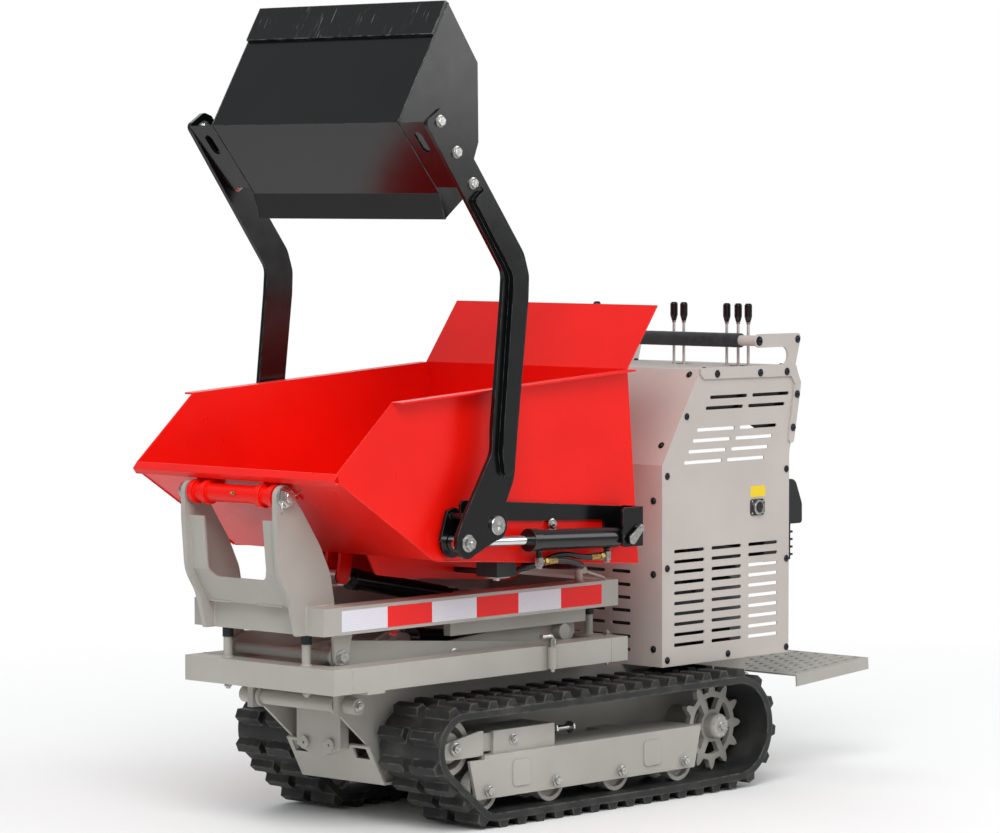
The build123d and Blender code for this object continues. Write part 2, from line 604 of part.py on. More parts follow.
def make_lower_frame():
    """The lower frame of the scissor lift with its slide rails, hinge brackets and latch guide."""
    frame = ring_frame(LOWER_FRONT_X, LOWER_REAR_X, LOWER_HALF, LOWER_TUBE, LOWER_Z)
    inside = LOWER_HALF - LOWER_TUBE
    rail_top = SCISSOR_LOW_Z - SLIDE_ROLLER_R - ROLL_GAP
    rail = block(LOWER_REAR_X + LOWER_TUBE, RAIL_FRONT_X, OUTER_ARM_Y + ARM_PLATE + 2, inside, rail_top - 6, rail_top)
    lug_y = INNER_ARM_Y - SIDE_GAP - LUG_PLATE
    hinge_lug = plate_xz([(LOWER_FRONT_X - LOWER_TUBE, LOWER_Z + 3), (SCISSOR_X - 14, LOWER_Z + 3),
                          (SCISSOR_X - 18, SCISSOR_LOW_Z + 16, 14), (LOWER_FRONT_X - LOWER_TUBE, SCISSOR_LOW_Z + 16)],
                         lug_y, lug_y + LUG_PLATE)
    for s in both_sides(rail) + both_sides(hinge_lug):
        frame += s
    frame += rod_y(SCISSOR_X, SCISSOR_LOW_Z, SCISSOR_PIN_R, -INNER_ARM_Y - ARM_PLATE, INNER_ARM_Y + ARM_PLATE)
    cheek_y = EYE_WIDTH / 2 + 2
    cheek = plate_xz([(LOWER_REAR_X + LOWER_TUBE, LOWER_Z + 6), (LIFT_BARREL_X + 16, LIFT_BARREL_Z - 14, 8),
                      (LIFT_BARREL_X + 16, LIFT_BARREL_Z + 14, 8), (LOWER_REAR_X + LOWER_TUBE, LIFT_BARREL_Z + 18)],
                     cheek_y, cheek_y + LUG_PLATE)
    for s in both_sides(cheek):
        frame += s
    frame += rod_y(LIFT_BARREL_X, LIFT_BARREL_Z, SCISSOR_PIN_R, -cheek_y, cheek_y)
    strap = block(PIVOT_X - SADDLE_HALF, PIVOT_X + SADDLE_HALF, -LOWER_HALF, LOWER_HALF, LOWER_Z - 6, LOWER_Z)
    saddle = block(PIVOT_X - SADDLE_HALF, PIVOT_X + SADDLE_HALF, SADDLE_Y, SADDLE_Y + 16, PIVOT_Z - 24, LOWER_Z - 6)
    saddle -= rod_y(PIVOT_X, PIVOT_Z, PIVOT_TUBE_R + PIN_FIT, SADDLE_Y - 5, SADDLE_Y + 30)
    frame += strap
    for s in both_sides(saddle):
        frame += s
    guide = Pos(LATCH_X, LATCH_Y, LOWER_Z + LOWER_TUBE / 2) * Cylinder(LATCH_TUBE_R, LOWER_TUBE - 6)
    return frame + guide - Pos(LATCH_X, LATCH_Y, LOWER_Z) * Cylinder(LATCH_R + PIN_FIT, 3 * LOWER_TUBE)


def make_latch_pin():
    """The spring latch in the left rail: an upright pin whose top is bent over as its handle."""
    foot, top = LOWER_Z - 4, LOWER_Z + LOWER_TUBE + 22
    path = FilletPolyline((LATCH_X, LATCH_Y, foot), (LATCH_X, LATCH_Y, top), (LATCH_X + 36, LATCH_Y, top), radius=9)
    return sweep(Plane(origin=path @ 0, z_dir=path % 0) * Circle(LATCH_R), path=path)


def make_posts():
    """Stop posts on the lower frame's front and rear tubes."""
    posts = []
    for x, y in POST_PLACES:
        post = Pos(x, y, LOWER_Z + LOWER_TUBE) * Cylinder(POST_R, POST_LENGTH, align=(Align.CENTER, Align.CENTER, Align.MIN))
        posts += both_sides(post)
    return posts


def make_buffers():
    """Rubber tops of the stop posts, which carry the upper frame when it is down."""
    foot_z = LOWER_Z + LOWER_TUBE + POST_LENGTH
    buffers = []
    for x, y in POST_PLACES:
        rubber = Cylinder(POST_R + 2, UPPER_Z - foot_z - SEAT_GAP, align=(Align.CENTER, Align.CENTER, Align.MIN))
        buffers += both_sides(Pos(x, y, foot_z) * rubber)
    return buffers


def scissor_arm(rounds, y):
    """One flat scissor arm: a plate with straight edges drawn round circles, each given as x, z and radius."""
    circles = [edge for x, z, radius in rounds for edge in (Pos(x, z) * Circle(radius)).edges()]
    return Pos(0, y + ARM_PLATE, 0) * Rot(90, 0, 0) * extrude(make_hull(circles), ARM_PLATE)


SCISSOR_REAR_X = SCISSOR_X - SCISSOR_REACH
SCISSOR_MID = ((SCISSOR_X + SCISSOR_REAR_X) / 2, (SCISSOR_LOW_Z + SCISSOR_HIGH_Z) / 2)


def make_inner_arms():
    """Inner scissor arms: hinged at the front of the lower frame, rolling under the upper frame."""
    arms = Part()
    back, up, tail_r = ARM_TAIL
    rounds = [(SCISSOR_X, SCISSOR_LOW_Z, ARM_FRONT_R), (SCISSOR_REAR_X - back, SCISSOR_HIGH_Z + up, tail_r)]
    for s in both_sides(scissor_arm(rounds, INNER_ARM_Y)):
        arms += s
    arms -= rod_y(SCISSOR_X, SCISSOR_LOW_Z, SCISSOR_PIN_R + PIN_FIT, -LOWER_HALF, LOWER_HALF)
    roller = rod_y(SCISSOR_REAR_X, SCISSOR_HIGH_Z, SLIDE_ROLLER_R, INNER_ARM_Y + ARM_PLATE, OUTER_ARM_Y + ARM_PLATE + 4)
    for s in both_sides(roller):
        arms += s
    beam_x = LIFT_EYE_X + LIFT_BEAM_AHEAD
    beam_z = SCISSOR_LOW_Z + (SCISSOR_HIGH_Z - SCISSOR_LOW_Z) * (SCISSOR_X - beam_x) / SCISSOR_REACH
    arms += rod_y(beam_x, beam_z, LIFT_BEAM_R, -INNER_ARM_Y, INNER_ARM_Y)
    cheek_y = EYE_WIDTH / 2 + 2
    cheek = plate_xz([(beam_x + 12, beam_z - 9), (beam_x + 12, beam_z + 10), (LIFT_EYE_X + 8, LIFT_EYE_Z + 17, 12),
                      (LIFT_EYE_X - 16, LIFT_EYE_Z + 10, 8), (LIFT_EYE_X - 14, LIFT_EYE_Z - 14, 8), (beam_x, beam_z - 12)],
                     cheek_y, cheek_y + LUG_PLATE)
    for s in both_sides(cheek):
        arms += s
    arms += both_sides(rod_y(SCISSOR_MID[0], SCISSOR_MID[1], SCISSOR_PIN_R, INNER_ARM_Y + ARM_PLATE,
                             OUTER_ARM_Y + ARM_PLATE))
    return arms


def make_outer_arms():
    """Outer scissor arms: hinged under the front of the upper frame, rolling on the lower frame."""
    arms = Part()
    back, up, shoulder_r = ARM_SHOULDER
    rounds = [(SCISSOR_X, SCISSOR_HIGH_Z, ARM_FRONT_R), (SCISSOR_X - back, SCISSOR_HIGH_Z + up, shoulder_r),
              (SCISSOR_REAR_X, SCISSOR_LOW_Z, ARM_REAR_R)]
    for s in both_sides(scissor_arm(rounds, OUTER_ARM_Y)):
        arms += s
    arms -= rod_y(SCISSOR_MID[0], SCISSOR_MID[1], SCISSOR_PIN_R + PIN_FIT, -LOWER_HALF, LOWER_HALF)
    arms += rod_y(SCISSOR_X, SCISSOR_HIGH_Z, 12, -OUTER_ARM_Y, OUTER_ARM_Y)
    roller = rod_y(SCISSOR_REAR_X, SCISSOR_LOW_Z, SLIDE_ROLLER_R, OUTER_ARM_Y + ARM_PLATE, LOWER_HALF - LOWER_TUBE - 5)
    pin = rod_y(SCISSOR_X, SCISSOR_HIGH_Z, SCISSOR_PIN_R, OUTER_ARM_Y + ARM_PLATE, EAR_Y + ARM_PLATE + 6)
    for s in both_sides(roller) + both_sides(pin):
        arms += s
    return arms


def make_upper_frame():
    """The upper frame with ears, roller rails and the tip cylinder's cross member."""
    frame = ring_frame(UPPER_FRONT_X, UPPER_REAR_X, UPPER_HALF, UPPER_TUBE, UPPER_Z)
    ear = plate_xz([(SCISSOR_X - 34, UPPER_Z), (SCISSOR_X - 17, SCISSOR_HIGH_Z - 19, 16),
                    (SCISSOR_X + 18, SCISSOR_HIGH_Z - 19, 16), (SCISSOR_X + 24, UPPER_Z)], EAR_Y, EAR_Y + ARM_PLATE)
    ear -= rod_y(SCISSOR_X, SCISSOR_HIGH_Z, SCISSOR_PIN_R + PIN_FIT, EAR_Y - 5, EAR_Y + 20)
    rail_z = SCISSOR_HIGH_Z + SLIDE_ROLLER_R + ROLL_GAP
    rail = block(SCISSOR_REAR_X - 70, RAIL_FRONT_X, INNER_ARM_Y + ARM_PLATE + SIDE_GAP, OUTER_ARM_Y + ARM_PLATE + 4,
                 rail_z, UPPER_Z)
    for s in both_sides(ear) + both_sides(rail):
        frame += s
    inside = UPPER_HALF - UPPER_TUBE
    beam_front = TIP_BARREL_X - EYE_R - 10
    frame += block(beam_front - TIP_BEAM, beam_front, -inside, inside, UPPER_Z + 6, UPPER_Z + 6 + TIP_BEAM)
    cheek_y = EYE_WIDTH / 2 + 2
    cheek = plate_xz([(beam_front, TIP_BARREL_Z - 20), (TIP_BARREL_X + 16, TIP_BARREL_Z - 16, 12),
                      (TIP_BARREL_X + 16, TIP_BARREL_Z + 14, 12), (beam_front, TIP_BARREL_Z + 15)],
                     cheek_y, cheek_y + LUG_PLATE)
    for s in both_sides(cheek):
        frame += s
    frame += rod_y(TIP_BARREL_X, TIP_BARREL_Z, SCISSOR_PIN_R, -cheek_y, cheek_y)
    top = UPPER_Z + UPPER_TUBE
    stub = Pos(STUB_X, STUB_Y, top) * Cylinder(STUB_R, STUB_LENGTH, align=(Align.CENTER, Align.CENTER, Align.MIN))
    for s in both_sides(stub):
        frame += s
    eye = (STUB_X - STUB_R - 5, top + STUB_LENGTH - 10)
    frame += rod_y(eye[0], eye[1], 8, STUB_Y - 5, STUB_Y + 5)
    return frame + cylinder_bar(eye, (eye[0] - 72, top + 3), 5, 76, 3.5, STUB_Y)


def make_horns():
    """The two curved horns on the front tube, and the U-shaped plate that joins them."""
    top = UPPER_Z + UPPER_TUBE
    front = UPPER_FRONT_X
    boss_front, boss_rear = HORN_PIN_X + HORN_BOSS_R, HORN_PIN_X - HORN_BOSS_R
    bend = HORN_BEND_R
    outline = [(boss_front, HORN_PIN_Z), (boss_front, 689, bend), (565, 569, bend), (535, 523, bend),
               (front + 26, UPPER_Z), (front, UPPER_Z), (front, top), (402, top), (414, 569, bend), (444, 631, bend),
               (497, 709, bend), (boss_rear, HORN_PIN_Z)]
    horn = plate_xz(outline, HORN_Y, HORN_Y + HORN_PLATE)
    horn += rod_y(HORN_PIN_X, HORN_PIN_Z, HORN_BOSS_R, HORN_Y, HORN_Y + HORN_PLATE)
    horn -= rod_y(HORN_PIN_X, HORN_PIN_Z, HINGE_PIN_R + PIN_FIT, HORN_Y - 5, HORN_Y + 20)
    horns = Part()
    for s in both_sides(horn):
        horns += s
    web = plate_xz(strip([(front + 20, top), (550, 575), (561, WEB_TOP_Z)], 6), -HORN_Y, HORN_Y)
    deep = 2 * (WEB_TOP_Z + 20 - WEB_CUT_Z)
    cut = Rot(0, 90, 0) * extrude(RectangleRounded(deep, 2 * WEB_CUT_HALF, WEB_CUT_ROUND), 60, both=True)
    return horns + (web - Pos(550, 0, WEB_CUT_Z + deep / 2) * cut)


def make_hinge_pin():
    """The long hinge pin of the skip."""
    return rod_y(HORN_PIN_X, HORN_PIN_Z, HINGE_PIN_R, -HORN_Y - HORN_PLATE - 12, HORN_Y + HORN_PLATE + 12)


def floor_under(x):
    """Height of the skip floor's underside."""
    share = (x - FLOOR_REAR[0]) / (SLOPE_FOOT[0] - FLOOR_REAR[0])
    return FLOOR_REAR[1] + (SLOPE_FOOT[1] - FLOOR_REAR[1]) * share


def make_skip():
    """The skip: a bent floor and headboard sheet, two side sheets, folded rim and a hollow hem as its lip."""
    line = [HEADBOARD_TOP, RIM_REAR, FLOOR_REAR, SLOPE_FOOT, LIP_LOW]
    skip = plate_xz(strip(line, SKIP_WALL), -SKIP_HALF, SKIP_HALF)
    side = plate_xz([LIP_TOP, LIP_LOW, SLOPE_FOOT, FLOOR_REAR, RIM_REAR, RIM_FRONT], SKIP_HALF - SKIP_WALL, SKIP_HALF)
    flange = plate_xz(strip([RIM_REAR, RIM_FRONT], -SKIP_WALL), SKIP_HALF - 1, SKIP_HALF + RIM_FLANGE)
    for s in both_sides(side) + both_sides(flange):
        skip += s
    hem = [along(LIP_LOW, SLOPE_FOOT, HEM_SHEET), LIP_HEM[1], LIP_HEM[0], LIP_TOP]
    return skip + plate_xz(strip(hem, HEM_SHEET), -SKIP_HALF, SKIP_HALF)


def make_skip_hinge():
    """The hinge bar under the lip: four round lugs on a tube, each with a neck welded to the slope."""
    dx, dz = LIP_LOW[0] - SLOPE_FOOT[0], LIP_LOW[1] - SLOPE_FOOT[1]
    length = math.hypot(dx, dz)
    to_pin = (HORN_PIN_X - SLOPE_FOOT[0], HORN_PIN_Z - SLOPE_FOOT[1])
    reach = (to_pin[0] * dx + to_pin[1] * dz) / length
    foot = [along(SLOPE_FOOT, LIP_LOW, reach - HINGE_LUG_R), along(SLOPE_FOOT, LIP_LOW, reach + 8)]
    neck = foot + [along((HORN_PIN_X, HORN_PIN_Z), (HORN_PIN_X + dx, HORN_PIN_Z + dz), turn * HINGE_LUG_R * 0.8)
                   for turn in (1, -1)]
    hinge = rod_y(HORN_PIN_X, HORN_PIN_Z, HINGE_TUBE_R, -HINGE_LUG_Y[1], HINGE_LUG_Y[1])
    for y in HINGE_LUG_Y:
        for lug in (rod_y(HORN_PIN_X, HORN_PIN_Z, HINGE_LUG_R, y, y + HINGE_LUG), plate_xz(neck, y, y + HINGE_LUG)):
            for s in both_sides(lug):
                hinge += s
    return hinge - rod_y(HORN_PIN_X, HORN_PIN_Z, HINGE_PIN_R + PIN_FIT, -SKIP_HALF, SKIP_HALF)


def make_underbox():
    """Long ribs under the skip floor, with the tip cylinder's eye lugs between them."""
    front, rear = 255, -300
    rib = plate_xz([(front, floor_under(front)), (230, 552, 20), (150, 540), (-200, 512, 20), (rear, floor_under(rear))],
                   RIB_Y, RIB_Y + RIB_PLATE)
    cheek_y = EYE_WIDTH / 2 + 2
    cheek = plate_xz([(TIP_EYE_X - 30, floor_under(TIP_EYE_X - 30)), (TIP_EYE_X - 17, TIP_EYE_Z),
                      (TIP_EYE_X + 17, TIP_EYE_Z), (TIP_EYE_X + 10, floor_under(TIP_EYE_X + 10))],
                     cheek_y, cheek_y + LUG_PLATE)
    cheek += rod_y(TIP_EYE_X, TIP_EYE_Z, 17, cheek_y, cheek_y + LUG_PLATE)
    return both_sides(rib) + both_sides(cheek)


def make_rubber_stops():
    """Rubber pads under the skip floor near its sides."""
    x0, x1 = STOP_X - STOP_SIZE / 2, STOP_X + STOP_SIZE / 2
    pad = [(x0, STOP_LOW_Z), (x1, STOP_LOW_Z), (x1, floor_under(x1)), (x0, floor_under(x0))]
    return both_sides(plate_xz(pad, SKIP_HALF - STOP_SIZE - 8, SKIP_HALF - 8))


def make_side_plates():
    """Black plates bolted to the skip's sides, with the loader's pivot stubs."""
    y0, y1 = SKIP_HALF, SKIP_HALF + SIDE_PLATE
    rear, front = SIDE_PLATE_REAR_X, LOADER_X + 56
    plate = plate_xz([(front, 724, 12), (rear, 682, 8), (rear, MOUNT_LOW_Z), (MOUNT_FRONT_X, MOUNT_LOW_Z + 4),
                      (MOUNT_FRONT_X, 655, 8), (60, 672, 30), (90, 640, 30), (front, 632, 20)], y0, y1)
    stub = rod_y(LOADER_X, LOADER_Z, PIVOT_STUB_R, y1, ARM_IN_Y - 4)
    pin = rod_y(LOADER_X, LOADER_Z, LOADER_PIN_R, ARM_IN_Y - 4, ARM_IN_Y + ARM_THICK + 6)
    return both_sides(plate + stub + pin)


def make_cylinder_mounts():
    """Folded boxes at the rear of the side plates that hold the loader cylinders."""
    y0, y1 = SKIP_HALF + SIDE_PLATE, CYL_Y + EYE_WIDTH / 2 + MOUNT_SHEET + 10
    rear = SIDE_PLATE_REAR_X
    cover = plate_xz([(rear, MOUNT_LOW_Z), (MOUNT_FRONT_X, MOUNT_LOW_Z, 10), (MOUNT_FRONT_X, MOUNT_TOP_Z, 10),
                      (rear, MOUNT_TOP_Z)], y1 - MOUNT_SHEET, y1)
    cover += block(rear, rear + MOUNT_SHEET, y0, y1, MOUNT_LOW_Z, MOUNT_TOP_Z)
    return both_sides(cover + rod_y(CYL_REAR_X, CYL_REAR_Z, ROD_PIN_R, y0, y1 + 6))


def make_barrel(a, b, length, radius, rod_radius, pin_r, y=0.0):
    """A cylinder barrel from its eye at a towards b, bored for its rod, with a gland ring at its end."""
    tube = cylinder_bar(a, b, EYE_R + 3, length, radius, y) + cylinder_bar(a, b, length - GLAND, length, radius + 2.5, y)
    tube -= cylinder_bar(a, b, EYE_R + BORE_START, length + 1, rod_radius + SEAT_GAP, y)
    eye = rod_y(a[0], a[1], EYE_R, y - EYE_WIDTH / 2, y + EYE_WIDTH / 2) + cylinder_bar(a, b, 5, EYE_R + 8, 12, y)
    return (tube + eye) - rod_y(a[0], a[1], pin_r + PIN_FIT, y - EYE_WIDTH, y + EYE_WIDTH)


def make_rod(a, b, start, rod_radius, pin_r, y=0.0):
    """A chromed rod with its eye at b. It starts inside the barrel, far enough in to stay there over its stroke."""
    reach = math.hypot(b[0] - a[0], b[1] - a[1])
    bar = cylinder_bar(a, b, start, reach - EYE_R + 3, rod_radius, y)
    bar += rod_y(b[0], b[1], EYE_R, y - EYE_WIDTH / 2, y + EYE_WIDTH / 2)
    return bar - rod_y(b[0], b[1], pin_r, y - EYE_WIDTH, y + EYE_WIDTH)


CYL_A, CYL_B = (CYL_REAR_X, CYL_REAR_Z), (ROD_PIN_X, ROD_PIN_Z)


def make_fittings():
    """Ports and elbows under the loader cylinders. The left ones show their brass ferrules, which face each other."""
    fittings = []
    for x, toward in zip(PORT_X, (-1, 1)):
        axis_z = CYL_REAR_Z + (ROD_PIN_Z - CYL_REAR_Z) * (x - CYL_REAR_X) / (ROD_PIN_X - CYL_REAR_X)
        foot = (Align.CENTER, Align.CENTER, Align.MIN)
        elbow = Pos(x, CYL_Y, ELBOW_Z) * Cylinder(PORT_R, axis_z - ELBOW_Z, align=foot)
        elbow -= cylinder_bar(CYL_A, CYL_B, EYE_R, CYL_BARREL_LENGTH, CYL_BARREL_R, CYL_Y)
        elbow += Pos(x, CYL_Y, ELBOW_Z) * extrude(RegularPolygon(ELBOW_R + 1, 6), 9, both=True)
        elbow += Pos(x, CYL_Y, ELBOW_Z - 15) * Cylinder(ELBOW_R - 2, 8, align=foot)
        fittings.append(mirror(elbow, about=Plane.XZ))
        length = FERRULE_END - FERRULE_START + 6
        ferrule = Rot(0, 90 * toward, 0) * Cylinder(FERRULE_R, length, align=foot)
        fittings.append(elbow + Pos(x + toward * (FERRULE_START - 6), CYL_Y, ELBOW_Z) * ferrule)
    return fittings


def make_hose(points):
    """A hose along straight runs joined by tangent arcs."""
    path = FilletPolyline(*points, radius=HOSE_BEND_R)
    return sweep(Plane(origin=path @ 0, z_dir=path % 0) * Circle(HOSE_R), path=path)


def make_loader_arm():
    """The left loader arm: base bar, welded stiffener and the inner ear at the rod's pin."""
    y0, y1 = ARM_IN_Y, ARM_IN_Y + ARM_THICK
    arm = plate_xz(ARM_OUTLINE, y0, y1)
    arm += rod_y(ROD_PIN_X, ROD_PIN_Z, ROD_BOSS_R, y0, y1) + rod_y(LOADER_X, LOADER_Z, PIVOT_BOSS_R, y0, y1)
    arm += plate_xz(STIFFENER_OUTLINE, y1, y1 + STIFFENER)
    arm -= rod_y(LOADER_X, LOADER_Z, LOADER_PIN_R + PIN_FIT, y0 - 5, y1 + 5)
    ear_y = CYL_Y - EYE_WIDTH / 2 - 2 - LUG_PLATE
    ear = plate_xz([(262, 640), (240, 704, 10), (212, 712, 10), (196, 690), (192, 640)], ear_y, ear_y + LUG_PLATE)
    arm += ear + rod_y(ROD_PIN_X, ROD_PIN_Z, ROD_BOSS_R, ear_y, ear_y + LUG_PLATE)
    arm += rod_y(ROD_PIN_X + 3, ROD_PIN_Z + 56, 8, ear_y + LUG_PLATE, y0)
    return arm + rod_y(ROD_PIN_X, ROD_PIN_Z, ROD_PIN_R + 4, y1, y1 + 8)


def make_bucket():
    """The bucket shell in its raised place: bent floor and back, and two side sheets."""
    line = [BUCKET_EDGE, BUCKET_FLOOR_BACK, BUCKET_BACK_LOW, BUCKET_BACK_END]
    bucket = plate_xz(strip(line, -BUCKET_SHEET), -BUCKET_HALF, BUCKET_HALF)
    side = plate_xz([BUCKET_EDGE, BUCKET_FLOOR_BACK, BUCKET_BACK_LOW, BUCKET_BACK_END] + BUCKET_SIDE[::-1],
                    BUCKET_HALF - BUCKET_SHEET, BUCKET_HALF)
    for s in both_sides(side):
        bucket += s
    return bucket


def make_cutting_edge():
    """The wear strip along the front of the bucket floor."""
    end = along(BUCKET_EDGE, BUCKET_FLOOR_BACK, 84)
    return plate_xz(strip([BUCKET_EDGE, end], 8), -BUCKET_HALF, BUCKET_HALF)


def make_bucket_brackets():
    """Folded brackets between the bucket's sides and the arms, with a slot in the long flange."""
    low = along(BUCKET_FLOOR_BACK, BUCKET_BACK_LOW, BRACKET_DROP)
    top = (BUCKET_FLOOR_BACK[0] - BRACKET_DEPTH, BUCKET_FLOOR_BACK[1] + 2)
    bracket = plate_xz(strip([top, BUCKET_FLOOR_BACK, low], -BRACKET_SHEET), BUCKET_HALF, ARM_IN_Y)
    place = along(BUCKET_FLOOR_BACK, BUCKET_BACK_LOW, BRACKET_SLOT)
    dx, dz = low[0] - BUCKET_FLOOR_BACK[0], low[1] - BUCKET_FLOOR_BACK[1]
    seat = Plane(origin=(place[0], (BUCKET_HALF + ARM_IN_Y) / 2, place[1]), x_dir=(dx, 0, dz), z_dir=(-dz, 0, dx))
    return both_sides(bracket - seat * extrude(SlotOverall(BRACKET_SLOT, 22), 20, both=True))


def upper_vents():
    """Two groups of long slots that follow the side sheet's slanted front edge, each with a rib in the middle."""
    spans = []
    slant = (HOUSING_TOP_FRONT_X - HOUSING_FRONT_X) / (HOUSING_TOP_Z - HOUSING_BEND_Z)
    for row in UPPER_VENT_ROWS:
        z = UPPER_VENT_TOP_Z - row * UPPER_VENT_PITCH
        front = HOUSING_FRONT_X + slant * (z - HOUSING_BEND_Z) - UPPER_VENT_INSET
        middle = front - UPPER_VENT_LENGTH / 2
        spans += [(front, middle + VENT_RIB / 2, z), (middle - VENT_RIB / 2, front - UPPER_VENT_LENGTH, z)]
    return spans


def make_housing_side():
    """A side sheet of the engine housing, with its two groups of long slots and the field of short ones."""
    outline = [(HOUSING_FRONT_X, HOUSING_LOW_Z), (HOUSING_FRONT_X, HOUSING_BEND_Z), (HOUSING_TOP_FRONT_X, HOUSING_TOP_Z),
               (HOUSING_TOP_REAR_X, HOUSING_TOP_Z), (-1054, 928, 10), (-1037.6, 861.7, 60), (-1011, 769.5, 60),
               (HOUSING_REAR_X, HOUSING_LOW_Z)]
    y0, y1 = HOUSING_HALF - HOUSING_SHEET, HOUSING_HALF
    spans = upper_vents()
    for column in range(VENT_COLUMNS):
        x = VENT_FIRST_X - column * VENT_PITCH_X
        spans += [(x, x - VENT_LENGTH, VENT_LOW_Z + row * VENT_PITCH_Z) for row in range(VENT_ROWS)]
    return plate_xz(outline, y0, y1) - slots_xz(spans, VENT_HEIGHT, y0 - 1, y1 + 1)


def make_housing_front():
    """The bent front sheet of the engine housing, with four columns of slots low down."""
    line = [(HOUSING_FRONT_X, HOUSING_LOW_Z), (HOUSING_FRONT_X, HOUSING_BEND_Z), (HOUSING_TOP_FRONT_X, HOUSING_TOP_Z)]
    inside = HOUSING_HALF - HOUSING_SHEET
    sheet = plate_xz(strip(line, HOUSING_SHEET), -inside, inside)
    slot = extrude(SlotOverall(FRONT_VENT_LENGTH, VENT_HEIGHT), 2 * HOUSING_SHEET, both=True)
    pitch = FRONT_VENT_LENGTH + FRONT_VENT_GAP
    slots = []
    for row in range(FRONT_VENT_ROWS):
        place = facing_front(HOUSING_FRONT_X, FRONT_VENT_LOW_Z + row * FRONT_VENT_PITCH)
        slots += [place * Pos(pitch * (column - 1.5), 0, 0) * slot for column in range(4)]
    return sheet - slots


def make_housing_top():
    """The top sheet of the engine housing, open where the levers come through."""
    inside = HOUSING_HALF - HOUSING_SHEET
    z0, z1 = HOUSING_TOP_Z - HOUSING_SHEET, HOUSING_TOP_Z
    top = block(HOUSING_TOP_REAR_X, HOUSING_TOP_FRONT_X - 4, -inside, inside, z0, z1)
    for group in LEVER_GROUPS:
        y0, y1 = min(group) - LEVER_SLOT / 2, max(group) + LEVER_SLOT / 2
        top -= block(LEVER_X - LEVER_SLOT, LEVER_X + LEVER_SLOT, y0, y1, z0 - 1, z1 + 1)
    x, y = SIDE_LEVER
    return top - block(x - LEVER_SLOT, x + LEVER_SLOT, y - LEVER_SLOT / 2, y + LEVER_SLOT / 2, z0 - 1, z1 + 1)


def make_housing_floor():
    """The floor sheet that carries the engine."""
    inside = HOUSING_HALF - HOUSING_SHEET
    return block(HOUSING_REAR_X, HOUSING_FRONT_X - HOUSING_SHEET, -inside, inside, HOUSING_LOW_Z, HOUSING_LOW_Z + FLOOR_SHEET)


def make_engine():
    """The engine on its feet: crankcase, slanted cylinder with cooling fins, and its head."""
    floor = HOUSING_LOW_Z + FLOOR_SHEET
    x0, x1 = ENGINE_REAR_X, ENGINE_REAR_X + ENGINE_LENGTH
    top = ENGINE_LOW_Z + ENGINE_CASE
    case = [(x0, ENGINE_LOW_Z), (x1, ENGINE_LOW_Z), (x1, top, 30), (x0, top, 30)]
    engine = plate_xz(case, -ENGINE_HALF, ENGINE_HALF)
    for x in (x0 + 40, x1 - 40):
        engine += block(x - 20, x + 20, -ENGINE_HALF, ENGINE_HALF, floor, ENGINE_LOW_Z)
    mid_x = (x0 + x1) / 2
    lean = Pos(mid_x, ENGINE_HALF - 20, ENGINE_LOW_Z + 110) * Rot(-ENGINE_LEAN, 0, 0)
    barrel = 20 + FIN_COUNT * FIN_PITCH
    engine += lean * Pos(0, 0, barrel / 2) * Box(90, 84, barrel)
    for i in range(FIN_COUNT):
        engine += lean * Pos(0, 0, 20 + i * FIN_PITCH) * Box(124, 116, 4)
    return engine


def make_recoil():
    """The engine's recoil starter at the open rear: a round case with a stepped cap."""
    r = STARTER_R
    profile = Polygon((0, 0), (r, 0), (r, 28), (r - 12, 46), (r * 0.45, 46), (r * 0.4, 58), (0, 58), align=None)
    case = revolve(Rot(90, 0, 0) * profile, Axis.Z)
    return Pos(ENGINE_REAR_X, STARTER_Y, STARTER_Z) * Rot(0, -90, 0) * case


def make_air_filter():
    """The air filter, which stands out of the open rear: a rounded cover on a narrow ribbed neck."""
    y0, y1 = FILTER_Y - FILTER_WIDTH / 2, FILTER_Y + FILTER_WIDTH / 2
    rear, front = FILTER_REAR_X, ENGINE_REAR_X
    cover = plate_xz([(front, FILTER_TOP_Z), (rear + 26, FILTER_TOP_Z, 22), (rear, FILTER_TOP_Z - 60, 30),
                      (rear, FILTER_NECK_Z, 8), (front, FILTER_NECK_Z)], y0, y1)
    neck_rear = rear + 24
    cover += block(neck_rear, front, y0 + 16, y1 - 16, FILTER_LOW_Z, FILTER_NECK_Z)
    for i in range(4):
        z = FILTER_LOW_Z + 10 + i * 18
        cover += block(neck_rear - 4, front, y0 + 12, y1 - 12, z, z + 5)
    return cover


def make_fuel_tank():
    """The fuel tank on top of the engine, with its cap."""
    x0, x1 = ENGINE_REAR_X + 30, ENGINE_REAR_X + ENGINE_LENGTH
    z0 = ENGINE_LOW_Z + ENGINE_CASE
    tank = [(x0, z0, 12), (x1, z0, 12), (x1, FILTER_TOP_Z - 10, 40), (x0, FILTER_TOP_Z - 10, 40)]
    cap = Pos((x0 + x1) / 2, 0, FILTER_TOP_Z) * Cylinder(28, 24)
    return plate_xz(tank, -ENGINE_HALF, ENGINE_HALF - 70) + cap


